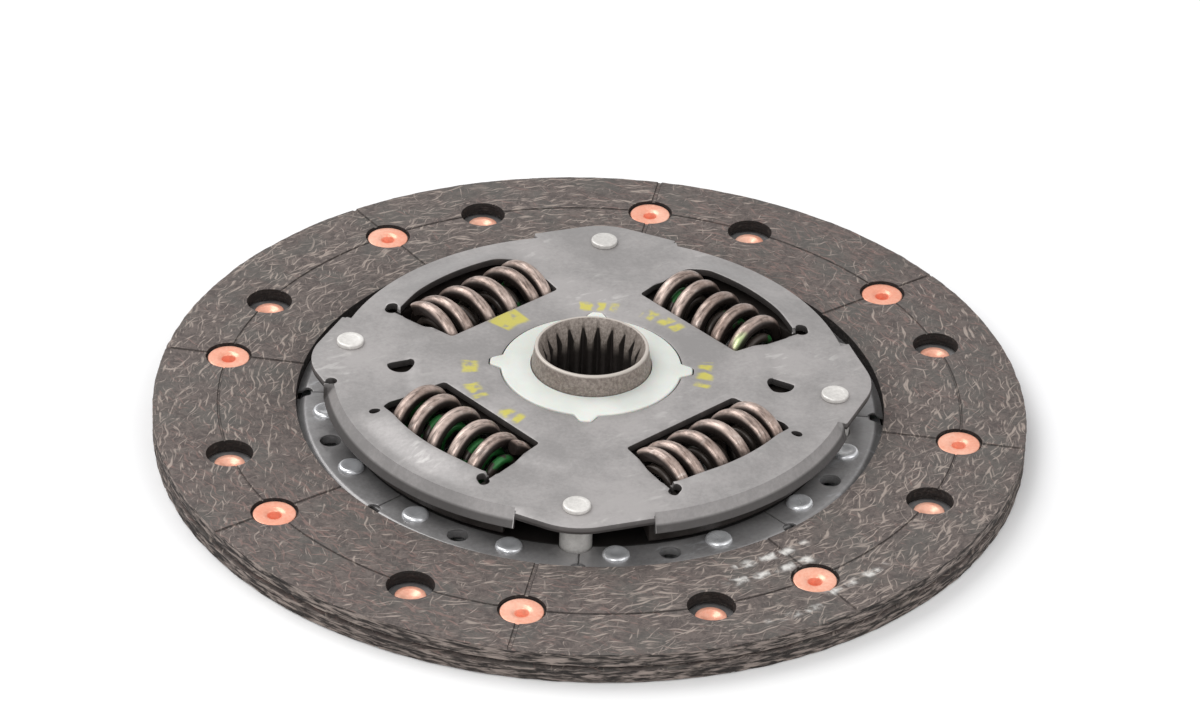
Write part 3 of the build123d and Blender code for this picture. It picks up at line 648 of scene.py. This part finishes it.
# plastics and painted wire
plasticLooks = {
    "whitePlastic": {"dark": (200, 203, 197), "light": (212, 214, 209), "roughness": 0.42, "specular": 0.45,
                     "glow": 0.25, "glowDepth": 0.002},
    "darkPlastic": {"dark": (52, 50, 48), "light": (70, 67, 64), "roughness": 0.55, "specular": 0.4,
                    "glow": 0.0, "glowDepth": 0.05},
}
for name, look in plasticLooks.items():
    material, shader, place = newMaterial(name, Specular_IOR_Level=look["specular"],
                                          Subsurface_Weight=look["glow"], Subsurface_Scale=look["glowDepth"])
    grain = placeGroup(grainGroup, {"Vector": place, "Scale": 700.0})
    tone = rangeOf(grain["Coarse"], 0.35, 0.65)
    colour = mixOf(tone, look["dark"], look["light"])
    if name == "whitePlastic":  # the flange is in shadow where the plate's bore leaves a gap
        under = productOf(within(depthOf(place, bossLow), "bushDepth"), within(radiusOf(place), "bushRadius"))
        colour = mixOf(under, colour, shadeLook.gap)
    rough = rangeOf(grain["Fine"], 0.3, 0.7, look["roughness"] - 0.06, look["roughness"] + 0.06)
    linkSurface(shader, colour, rough, grain["Fine"], 0.05)
    finishes[name] = material

# the inner springs' bare steel is darkened as painted shade inside the outer springs; the green patches are real
# paint
innerLook = Sizes(steel=(60, 52, 47), green=(44, 108, 54), amounts=[0.25, 0.05, 0.7, 0.05])
innerFinishes = []
for amount in innerLook.amounts:
    material, shader, place = newMaterial("paintedWire", Metallic=0.3, Roughness=0.38)
    bare = 0.64 - 0.3 * amount
    painted = rangeOf(noiseOf(place, 160.0, 2.0, 0.6), bare, bare + 0.06)
    linkTo(mixOf(painted, innerLook.steel, innerLook.green), shader.inputs["Base Color"])
    innerFinishes.append(material)
print("materials made")

# friction facings

facingSizes = Sizes(
    outer=114.0, inner=76.7, thickness=3.5, edge=0.25, steps=540,
    pocket=6.0, seat=2.0, shank=2.5, rim=0.25,
    grooveWidth=2.6, grooveDepth=0.4, ringGroove=0.75, ringGrooveDepth=0.35, ringFloor=0.4,
    fray=0.22, frayReach=0.7, frayShift=0.5, wallRows=5,
    rimShare=0.35,  # where the mouth of a pocket turns from steep to level
    grooveTaper=0.3,
)


def frictionFacing(name, node, openSide, clenched, cleared, finish):
    s = facingSizes
    low, high = heights(node)
    face, back = (high, low) if openSide > 0 else (low, high)
    circle = layout.liningCircle
    half, sunk = s.ringGroove / 2, face - openSide * s.ringGrooveDepth
    ring = lathe([(s.inner, back, s.edge), (s.inner, face, s.edge), (circle - half, face),
                  (circle - half * s.ringFloor, sunk), (circle + half * s.ringFloor, sunk), (circle + half, face),
                  (s.outer, face, s.edge), (s.outer, back, s.edge)], s.steps, 2)
    for i in range(1, s.wallRows):
        height = low + (high - low) * i / s.wallRows
        cutFlat(ring, (0, 0, height), (0, 0, 1), dist=0.0002)
    for vert in ring.verts:  # the outer edge is frayed where the rings were cut
        radius = hypot(vert.co.x, vert.co.y)
        if radius > s.outer - s.frayReach:
            seed = Vector((vert.co.x * 0.22, vert.co.y * 0.22, vert.co.z * 1.9))
            pull = s.fray * (noise.noise(seed) + 0.6 * noise.noise(seed * 3.1) - s.frayShift)
            vert.co.x *= 1 + pull / radius
            vert.co.y *= 1 + pull / radius
    obj = asObject(ring, name)
    bottom = face - openSide * s.grooveDepth
    grooves = prism(oblong(s.inner - 2, s.outer + 2, s.grooveWidth / 2),
                    bottom if openSide > 0 else face - 1, face + 1 if openSide > 0 else bottom)
    for vert in grooves.verts:
        if abs(vert.co.z - bottom) < 0.01:
            vert.co.y *= s.grooveTaper
    cutAt(obj, grooves, clenched)
    rim, inRim = s.rim, s.rimShare * s.rim
    floor = face - openSide * (s.thickness - s.seat)
    past, above = back - openSide, face + openSide
    mouth = [(s.pocket, face - openSide * rim), (s.pocket + inRim, face - openSide * inRim),
             (s.pocket + rim, face), (s.pocket + rim, above), (0, above)]
    pocket = lathe([(0, floor), (s.pocket, floor, 0.2), *mouth], 64, 2)
    cutAt(obj, pocket, clenched, circle)
    through = lathe([(0, past), (s.pocket, past), *mouth], 64, 2)
    cutAt(obj, through, cleared, circle)
    shank = lathe([(0, past), (s.shank, past), (s.shank, floor + openSide), (0, floor + openSide)], 32)
    cutAt(obj, shank, clenched, circle)
    finishPiece(obj, name, "driven_plate", [node], finish)
    print(name, len(obj.data.polygons), "faces")


frictionFacing("facingUpper", "facing_upper", 1, upperAngles, lowerAngles, printedLining)
frictionFacing("facingLower", "facing_lower", -1, lowerAngles, upperAngles, finishes["lining"])

# rivets and pins

rivetSizes = Sizes(
    liningHead=4.0, liningHeadThick=0.9, liningShank=2.45, liningBore=1.75, clench=5.5, clenchThick=0.85,
    footHead=3.5, footHeadThick=1.0, footShank=2.15, footDimple=1.5,
)


def liningRivets(name, node, side, angles):
    # a tubular rivet: flat head under the blade and a flared, clenched end in the pocket
    s = rivetSizes
    low, high = heights(node)
    head = low if side > 0 else high
    seat = head + side * s.liningHeadThick
    tip = high if side > 0 else low
    under = tip - side * s.clenchThick
    rivet = lathe([
        (0, head + side * 0.75), (1.0, head + side * 0.7, 0.3), (2.1, head + side * 0.22, 0.3), (2.7, head, 0.2),
        (s.liningHead, head, 0.28), (s.liningHead, seat, 0.2), (s.liningShank, seat, 0.1),
        (s.liningShank, under, 0.1), (s.clench, under, 0.2), (s.clench, tip, 0.3),
        (s.liningBore + 1.1, tip - side * 0.06, 0.3), (s.liningBore, tip - side * 0.55, 0.3),
        (s.liningBore, head + side * 1.3, 0.2), (0, head + side * 1.3)], 56)
    obj = asObject(repeat(outwardFaces(rivet), placesOn(layout.liningCircle, angles)), name)
    finishPiece(obj, name, "driven_plate", [node], finishes["copper"])


liningRivets("liningRivetsUpper", "lining_rivets_upper", 1, upperAngles)
liningRivets("liningRivetsLower", "lining_rivets_lower", -1, lowerAngles)

s = rivetSizes
low, high = heights("segment_rivets")
# radius, depth and rounding from the middle of one end to the shank
end = [(0, 0.42), (s.footDimple * 0.5, 0.38, 0.3), (s.footDimple + 0.5, 0, 0.5), (s.footHead - 0.5, 0, 0.4),
       (s.footHead, 0.6, 0.4), (s.footHead, s.footHeadThick, 0.05), (s.footShank, s.footHeadThick)]
footRivet = lathe([(radius, low + depth, *rounding) for radius, depth, *rounding in end]
                  + [(radius, high - depth, *rounding) for radius, depth, *rounding in end[::-1]], 56, 5)
obj = asObject(repeat(footRivet, placesOn(layout.footRivetCircle, footRivetAngles)), "segmentRivets")
finishPiece(obj, "segmentRivets", "driven_plate", ["segment_rivets"], finishes["platedSteel"])

pinSizes = Sizes(
    head=3.55, neck=2.8, spacer=4.15, dish=2.4, dishFloor=2.2, dishDepth=0.1, clearance=0.1,
)
s = pinSizes
grip = layout.pinHead + layout.plateThick
for number, angle in enumerate(layout.pinAngles, start=1):
    low, high = heights(f"stop_pin_{number}")
    pin = lathe([
        (0, low), (s.head, low, 0.35), (s.head, low + layout.pinHead, 0.1),
        (s.neck, low + layout.pinHead), (s.neck, low + grip), (s.spacer, low + grip, 0.2),
        (s.spacer, high - grip, 0.2), (s.neck, high - grip), (s.neck, high - layout.pinHead),
        (s.head, high - layout.pinHead, 0.15), (s.head, high, 0.4), (s.dish, high, 0.2),
        (s.dishFloor, high - 0.7 * s.dishDepth, 0.2), (0, high - s.dishDepth)], 64)
    obj = asObject(repeat(pin, placesOn(layout.pinCircle, [angle])), f"stopPin{number}")
    finishPiece(obj, f"stopPin{number}", "driven_plate", [f"stop_pin_{number}"], finishes["pinSteel"])
print("rivets and pins made")

# retainer plate

windowSizes = Sizes(
    chord=34.2, half=18.45, spread=2.85, shoulder=50.5, lipEdge=57.0, lipHalf=21.0, corner=0.8,
    keyhole=1.65, keyholeCircle=59.5, keyholeAngle=21.1, slit=0.8, slitLipShare=0.6,
)
retainerSizes = Sizes(
    bore=23.9, edge=0.22, boss=45.6, bossRamp=2.6, rim=69.8, rimBend=1.2, rimDepth=4.8,
    rimEnds={0: (16.0, 16.0), 90: (16.0, 16.0), 180: (16.0, 10.4), 270: (12.6, 16.4)},
    notch=0.14, notchStart=68.45, notchHole=1.45, notchPlace=(67.7, 190.3),
    lobeTip=73.0, lobeRound=17.5, lobeCorner=69.6, lipRoot=66.2, lipRise=2.1, bumpSpare=0.3,
    gaugeRadius=3.5, gaugeFlat=1.8, gaugeLean=24.0, gaugeCircle=49.5, gaugeAngle=93.1,
    drain=1.4, drainCircle=60.0, drainAngles=[205.7, 334.3],
)
carrierSizes = Sizes(
    outer=73.2, bore=19.2, edge=0.22, lipRoot=65.1, lipRise=-2.6,
    rivetHole=2.2, footHole=2.75, footHoleCircle=69.8, neck=2.8,
)
carrierHigh = heights("carrier_plate")[1]
carrierLow = carrierHigh - layout.plateThick


def cutWindows(plate, low, high):
    # the four spring windows, each sheared open at one outer corner into a keyhole
    s = windowSizes
    spreadHalf = s.half + s.spread
    window = prism([(s.chord, s.half), (s.chord, -s.half), (s.shoulder, -spreadHalf),
                    *arc(s.lipEdge, s.lipHalf, 10), (s.shoulder, spreadHalf)], low - 1, high + 1, s.corner)
    cutAt(plate, window, layout.windowAngles)
    openEnds = list(zip(layout.windowAngles, layout.reliefSides))
    keyholes = [angle + side * s.keyholeAngle for angle, side in openEnds]
    punch(plate, s.keyhole, (low, high), s.keyholeCircle, keyholes, 32)
    for angle, side in openEnds:
        start = Vector((s.shoulder + 0.8, side * (spreadHalf - 0.5)))
        end = Vector(polar(s.keyholeCircle, side * s.keyholeAngle)[:2])
        along = (end - start).normalized()
        across = Vector((-along.y, along.x)) * s.slit / 2
        corners = [start - across, end - across, end + across, start + across]
        slit = prism([tuple(corner) for corner in corners], low - 1, high + 1)
        cutAt(plate, slit, [angle])


def lipRise(radius, angle, root, reach):
    # how far the band outside a window is pressed out over its spring
    s = windowSizes
    rise = 0
    for window, side in zip(layout.windowAngles, layout.reliefSides):
        turn = ((angle - window + 180) % 360 - 180) * side
        if abs(turn) > 34 or radius < 46:
            continue
        fade = 1 - smooth((radius - s.lipEdge) / (root - s.lipEdge))
        if turn < 0:
            along = smooth((24.0 + turn) / 11.0)
        else:
            blendWidth = 0.25 + 4.5 * smooth((radius - 60.3) / 4.5)
            slitAngle = s.keyholeAngle - 0.3
            along = 1 - (1 - s.slitLipShare) * smooth((turn - 11) / 10)
            along *= smooth((slitAngle + blendWidth - turn) / (2 * blendWidth))
        rise += reach * fade * along * smooth((radius - 51.5) / 3)
    return rise


def onLobe(angle):
    # whether an angle lies between two rims, where the plate stays flat
    for pin, (before, after) in retainerSizes.rimEnds.items():
        turn = (angle - pin + 180) % 360 - 180
        if -before <= turn <= after:
            return True
    return False


def retainerOutline(s):
    # the flat blank, before its rims are folded down
    notchAngle = degrees(s.notch / s.rim)
    reach = s.rim - s.rimBend + s.rimBend * pi / 4 + s.rimDepth - s.rimBend
    centre = s.lobeTip - s.lobeRound
    points = []
    ends = sorted(s.rimEnds.items())
    ends.append((ends[0][0] + 360, ends[0][1]))
    for (pin, (before, after)), (following, (nextBefore, _)) in zip(ends, ends[1:]):
        swings = []
        for end in (before, after):
            toCorner = Vector(polar(s.lobeCorner, end)[:2]) - Vector((centre, 0))
            swings.append(degrees(atan2(toCorner.y, toCorner.x)) - degrees(acos(s.lobeRound / toCorner.length)))
        points.append(polar(s.lobeCorner, pin - before)[:2])
        for i in range(13):
            x, y = polar(s.lobeRound, -swings[0] + (swings[0] + swings[1]) * i / 12)[:2]
            place = Matrix.Rotation(radians(pin), 2) @ Vector((centre + x, y))
            points.append((place.x, place.y))
        points.append(polar(s.lobeCorner, pin + after)[:2])
        start, end = pin + after + notchAngle, following - nextBefore - notchAngle
        count = round((end - start) / 1.5)
        points += [polar(reach, start + (end - start) * i / count)[:2] for i in range(count + 1)]
    return points


def pressRetainer(co):
    s = retainerSizes
    radius, angle = polarOf(co)
    depth = retainerTop - co.z
    straight = s.rim - s.rimBend
    if radius > straight and not onLobe(angle):
        run = radius - straight
        foldLength = s.rimBend * pi / 4
        fold = min(run / foldLength, 1) * pi / 2
        drop = max(run - foldLength, 0)
        arm = s.rimBend - depth * (s.rimBend - 0.05) / layout.plateThick
        newRadius = straight + arm * sin(fold)
        newHeight = retainerTop - s.rimBend + arm * cos(fold) - drop
        return Vector((co.x * newRadius / radius, co.y * newRadius / radius, newHeight))
    rise = layout.bossRise * smooth((s.boss + s.bossRamp - radius) / s.bossRamp)
    rise += lipRise(radius, angle, s.lipRoot, s.lipRise)
    return Vector((co.x, co.y, co.z + rise))


def pressCarrier(co):
    return Vector((co.x, co.y, co.z + lipRise(*polarOf(co), carrierSizes.lipRoot, carrierSizes.lipRise)))


def pressedPlate(name, bm, width, angleStep, radii, shape):
    obj = roundEdges(bm, width)
    sheet = gridded(edited(obj), angleStep, radii)
    for vert in sheet.verts:
        vert.co = shape(vert.co)
    sheet.to_mesh(obj.data)
    sheet.free()
    return obj


s = retainerSizes
low, high = retainerLow, retainerTop
blank = asObject(prism(retainerOutline(s), low, high), "retainer")
cut(blank, prism(bumpedRing(s.bumpSpare), low - 1, high + 1))
cutWindows(blank, low, high)
notchAngle = degrees(s.notch / 2 / s.rim)
notches = [pin + side * (end + notchAngle) for pin, ends in s.rimEnds.items() for side, end in zip((-1, 1), ends)]
notch = prism(oblong(s.notchStart, 80, s.notch / 2), low - 1, high + 1)
cutAt(blank, notch, notches)
punch(blank, s.notchHole, (low, high), s.notchPlace[0], [s.notchPlace[1]], 28)
for side in (-1, 1):
    gauge = bore(s.gaugeRadius, low, high, 48)
    cutFlat(gauge, (0, s.gaugeFlat, 0), (0, 1, 0), clear_outer=True)
    bmesh.ops.holes_fill(gauge, edges=gauge.edges[:])
    outwardFaces(gauge)
    place = Matrix.Translation(polar(s.gaugeCircle, 90 + side * s.gaugeAngle))
    cut(blank, repeat(gauge, [place @ Matrix.Rotation(side * radians(s.gaugeLean), 4, "Z")]))
punch(blank, s.drain, (low, high), s.drainCircle, s.drainAngles, 32)
punch(blank, pinSizes.neck + pinSizes.clearance, (low, high), layout.pinCircle, layout.pinAngles, 32)
rings = [s.bore + 3 * i for i in range(2, 7)] + [44.9 + 0.6 * i for i in range(7)]
rings += [51.5 + 1.2 * i for i in range(13)] + [67.3, 68.3] + [68.61 + 0.118 * i for i in range(9)] + [70.2, 71.4]
obj = pressedPlate("retainer", blank, s.edge, 1.5, rings, pressRetainer)
finishPiece(obj, "retainerPlate", "driven_plate", ["retainer_plate"], retainerFinish, 40)
print("retainer made", len(obj.data.polygons))

# carrier plate

s = carrierSizes
low, high = carrierLow, carrierHigh
blank = asObject(lathe([(s.bore, low), (s.outer, low), (s.outer, high), (s.bore, high)], 180), "carrier")
cutWindows(blank, low, high)
punch(blank, s.rivetHole, (low, high), layout.footRivetCircle, footRivetAngles, 24)
punch(blank, s.footHole, (low, high), s.footHoleCircle, footHoleAngles)
punch(blank, s.neck, (low, high), layout.pinCircle, layout.pinAngles, 32)
rings = [s.bore + 5 * i for i in range(1, 6)] + [51.5 + 1.2 * i for i in range(12)]
obj = pressedPlate("carrier", blank, s.edge, 3.0, rings, pressCarrier)
finishPiece(obj, "carrierPlate", "driven_plate", ["carrier_plate"], carrierFinish, 40)
print("carrier made", len(obj.data.polygons))

# cushion segments

segmentSizes = Sizes(
    thickness=0.7, footInner=65.3, outer=111.5, bendStart=74.6, bendEnd=76.4, footRise=1.8,
    footGap=0.4, slit=4.0, slitStart=72.6, footHole=2.75, footHoleCircle=69.8, lift=0.3,
    waveFlat=13.0, spareWave=-15.0, edge=0.08, pinClear=4.55,
    half=22.5,  # half the angle between two segments
    pinReach=27,  # a pin within this angle of a segment's middle needs its clearance
    slitRound=1.9, rivetHole=2.5, bendRings=73.6, bendStep=0.3,
)


def pressSegment(co):
    s = segmentSizes
    radius, turn = polarOf(co)
    drop = s.footRise * smooth((radius - s.bendStart + 0.5) / (s.bendEnd - s.bendStart + 1.0))
    wave = 0
    flat = degrees(s.waveFlat / 2 / layout.liningCircle)
    stops = [(-s.half, 0)]
    for offset, side in ((s.spareWave, 1), (layout.lowerOffset, -1), (layout.upperOffset, 1)):
        stops += [(offset - flat, side), (offset + flat, side)]
    stops.append((s.half, 0))
    for (start, first), (end, last) in zip(stops, stops[1:]):
        if start <= turn <= end:
            wave = first + (last - first) * smooth((turn - start) / (end - start))
    wave *= s.lift * smooth((radius - s.bendEnd) / 4)
    return Vector((co.x, co.y, co.z - drop + wave))


s = segmentSizes
footTop = heights("segment_rivets")[1] - rivetSizes.footHeadThick
footLow = footTop - s.thickness
footHalf = s.half - degrees(s.footGap / 2 / layout.footRivetCircle)
rings = [s.bendRings + s.bendStep * i for i in range(13)] + [80, 86]
for number, angle in enumerate(layout.segmentAngles, start=1):
    outline = arc(s.footInner, footHalf, 8) + arc(s.outer, footHalf, 12)[::-1]
    segment = asObject(prism(outline, footLow, footTop), "segment")
    slit = prism(oblong(s.slitStart, 120, s.slit / 2), footLow - 1, footTop + 1, s.slitRound, 6)
    cutAt(segment, slit, [-s.half, s.half])
    punch(segment, s.footHole, (footLow, footTop), s.footHoleCircle, [layout.footHoleOffset])
    for pin in layout.pinAngles:
        if abs((pin - angle + 180) % 360 - 180) < s.pinReach:
            punch(segment, s.pinClear, (footLow, footTop), layout.pinCircle, [pin - angle])
    rivets = [layout.lowerOffset, layout.upperOffset]
    punch(segment, s.rivetHole, (footLow, footTop), layout.liningCircle, rivets, 24)
    pressedPlate("segment", segment, s.edge, 3.0, rings, pressSegment)
    segment.data.transform(Matrix.Rotation(radians(angle), 4, "Z"))
    finishPiece(segment, f"cushionSegment{number}", "driven_plate", [f"cushion_segment_{number}"],
                finishes["cushionSteel"])
print("segments made")

# springs

springSizes = Sizes(
    outer=Sizes(radius=10.75, wire=3.9, pitch=7.7, sides=20, steps=40),
    inner=Sizes(radius=6.3, wire=2.4, pitch=5.0, sides=14, steps=30),
    length=36.5, closed=0.85, ground=0.2, keep=0.69,
    turned=[0, 210, 148, 225],  # each spring lies turned about its own axis
)


def coil(size):
    # wire spun up a helix whose last turns lie close, its ends ground flat
    s = springSizes
    wire, mean = size.wire, size.radius - size.wire / 2
    height = s.length - wire * (1 - 2 * s.ground)
    openTurns = (height - 2 * s.closed * wire) / size.pitch
    bm = bmesh.new()
    bmesh.ops.create_circle(bm, cap_ends=True, segments=size.sides, radius=wire / 2,
                            matrix=Matrix.Translation((mean, 0, -height / 2)) @ Matrix.Rotation(pi / 2, 4, "X"))
    front = bm.verts[:] + bm.edges[:]
    for turns, pitch in ((s.closed, wire), (openTurns, size.pitch), (s.closed, wire)):
        steps = max(round(turns * size.steps), 1)
        spun = bmesh.ops.spin(bm, geom=front, cent=(0, 0, 0), axis=(0, 0, 1), dvec=(0, 0, turns * pitch / steps),
                              angle=2 * pi * turns, steps=steps, use_merge=False)
        front = [item for item in spun["geom_last"] if not isinstance(item, bmesh.types.BMFace)]
    lastEdges = [item for item in front if isinstance(item, bmesh.types.BMEdge)]
    bmesh.ops.contextual_create(bm, geom=lastEdges)
    for side in (-1, 1):
        cutFlat(bm, (0, 0, side * s.length / 2), (0, 0, side), clear_outer=True)
        bmesh.ops.holes_fill(bm, edges=[edge for edge in bm.edges if edge.is_boundary])
    return tidyUp(bm)


for number, angle in enumerate(layout.windowAngles, start=1):
    seat = Matrix.Translation(polar(layout.springCircle, angle, layout.springMiddle))
    turnUp = Matrix.Rotation(radians(angle), 4, "Z") @ Matrix.Rotation(-pi / 2, 4, "X")
    ownTurn = Matrix.Rotation(radians(springSizes.turned[number - 1]), 4, "Z")
    for kind, title, finish, slotName in (("outer", "damper", outerFinishes[number - 1], "spring_steel"),
                                          ("inner", "inner", innerFinishes[number - 1], "green_paint")):
        wireBody = asObject(repeat(coil(springSizes[kind]), [seat @ turnUp @ ownTurn]), title)
        obj = finishPiece(wireBody, f"{title}Spring{number}", "springs", [f"{title}_spring_{number}"], finish)
        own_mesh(obj)
print("springs made")

# hub

hubSizes = Sizes(
    radius=15.6, tipRadius=14.8, tipHeight=5.4, flange=66.5, flangeThick=6.0,
    windowInner=33.9, windowOuter=56.1, windowHalf=18.4, notchInner=59.25, notchHalf=15.95,
    teeth=21, major=13.1, minor=11.5, spaceShare=0.7, spaceTaper=0.2, chamfer=13.9,
    leadDeep=6.2, chamferDeep=1.7, edge=0.16,
)
s = hubSizes
low, high = heights("hub")
flangeLow = layout.springMiddle - s.flangeThick / 2
flangeHigh = layout.springMiddle + s.flangeThick / 2
hub = asObject(lathe([
    (0, low), (s.radius, low, 0.4), (s.radius, flangeLow, 0.6), (s.flange, flangeLow, 0.4),
    (s.flange, flangeHigh, 0.4), (s.radius, flangeHigh, 0.6), (s.radius, high - s.tipHeight),
    (s.tipRadius, high, 0.35), (0, high)], 160), "hub")
openings = prism(oblong(s.windowInner, s.windowOuter, s.windowHalf), flangeLow - 1, flangeHigh + 1, 1.0)
cutAt(hub, openings, layout.windowAngles)
sector = arc(s.notchInner, s.notchHalf, 8) + arc(s.flange + 5, s.notchHalf, 8)[::-1]
cutAt(hub, prism(sector, flangeLow - 1, flangeHigh + 1), layout.pinAngles)
pitch = 360 / s.teeth
mouth = s.minor * radians(pitch) * s.spaceShare
root = mouth * s.spaceTaper
corners = [(s.minor, -mouth / 2), (s.major, -root / 2), (s.major, root / 2), (s.minor, mouth / 2)]
star = [polar(radius, i * pitch + degrees(asin(halfWidth / radius)))[:2]
        for i in range(s.teeth) for radius, halfWidth in corners]
cut(hub, prism(star, low - 1, high + 1))
for end, inwards, deep in ((high, -1, s.leadDeep), (low, 1, s.chamferDeep)):
    slope = (s.chamfer - s.minor) / deep
    before, after = end - inwards, end + inwards * (deep + 1)
    cut(hub, lathe([(0, before), (s.chamfer + slope, before), (s.minor - slope, after), (0, after)], 168))
roundEdges(hub, s.edge, 2, 35)
finishPiece(hub, "splinedHub", "hub", ["hub"], hubFinish)
print("hub made")

# bush

bushSizes = Sizes(bore=15.75, flange=29.5, underPlate=0.03, collar=21.8, collarRise=0.45, edge=0.35)
s = bushSizes
low, high = heights("centring_bush")
flangeTop = bossLow - s.underPlate
bush = asObject(prism(bumpedRing(), low + 0.2, high), "bush")
cut(bush, lathe([(0, low), (s.flange, low, 0.2), (s.flange, flangeTop, 0.2), (0, flangeTop)], 144), "UNION")
roundEdges(bush, s.edge, 3, 40)
collar = lathe([(0, high - 1), (s.collar - 1, high - 1), (s.collar, high - 0.1), (s.collar - 0.6, high + 0.05),
                (s.bore, high + s.collarRise), (0, high + s.collarRise)], 144)
cut(bush, collar, "UNION")
cut(bush, lathe([(0, low - 1), (s.bore, low - 1), (s.bore, high + 0.1), (s.bore + 0.35, high + 1),
                 (0, high + 1)], 144))
finishPiece(bush, "centringBush", "driven_plate", ["centring_bush"], finishes["whitePlastic"], 40)
print("bush made")

# pieces kept as the frame has them

kept = {"friction_ring": "darkPlastic", "support_washer": "carrierSteel", "disc_spring": "springSteel"}
for node, finish in kept.items():
    nodes[node].data.materials.clear()
    nodes[node].data.materials.append(finishes[finish])

# studio

studio = {
    "camera": (39.81, -1036.27, 681.78), "target": (1.535, 18.975, 8.3), "roll": -1.947, "lens": 141.98,
    "floor": ((236, 236, 237), (238, 238, 238)), "floorDrop": 0.0002, "sky": 0.68,
    "lights": [
        {"name": "keyLight", "place": (-0.9, 0.5, 1.3), "size": 1.3, "power": 16},
        {"name": "fillLight", "place": (1.1, -0.6, 1.0), "size": 1.2, "power": 5},
        {"name": "frontLight", "place": (-0.45, -1.3, 1.1), "size": 0.8, "power": 9},
    ],
}
cameraData = bpy.data.cameras.new("camera")
cameraData.lens = studio["lens"]
cameraData.sensor_width = 36
camera = bpy.data.objects.new("camera", cameraData)
scene.collection.objects.link(camera)
scene.camera = camera
start, target = Vector(studio["camera"]), Vector(studio["target"])
ahead = (target - start).normalized()
right = ahead.cross(Vector((0, 0, 1))).normalized()
down = ahead.cross(right)
roll = radians(studio["roll"])
right, down = cos(roll) * right + sin(roll) * down, -sin(roll) * right + cos(roll) * down
turned = Matrix((right, -down, -ahead)).transposed()
camera.matrix_world = Matrix.Translation(start * mm) @ turned.to_4x4()
cameraData.clip_start = 0.05

floorMesh = bmesh.new()
bmesh.ops.create_grid(floorMesh, x_segments=1, y_segments=1, size=6)
floor = asObject(floorMesh, "floor")
floor.location.z = -studio["floorDrop"]
material, shader, place = newMaterial("floorPaper", Roughness=0.9, Specular_IOR_Level=0.1)
paper = rangeOf(noiseOf(place, 3.0), 0.3, 0.7)
linkTo(mixOf(paper, *studio["floor"]), shader.inputs["Base Color"])
floor.data.materials.append(material)

world = bpy.data.worlds.new("studio")
scene.world = world
world.use_nodes = True
background = world.node_tree.nodes["Background"].inputs
background["Color"].default_value = (1, 1, 1, 1)
background["Strength"].default_value = studio["sky"]
for entry in studio["lights"]:
    light = bpy.data.lights.new(entry["name"], "AREA")
    light.shape = "SQUARE"
    light.size = entry["size"]
    light.energy = entry["power"]
    lamp = bpy.data.objects.new(entry["name"], light)
    lamp.location = entry["place"]
    lamp.rotation_euler = (-Vector(entry["place"])).to_track_quat("-Z", "Y").to_euler()
    scene.collection.objects.link(lamp)
scene.view_settings.view_transform = "Standard"
print("studio made")
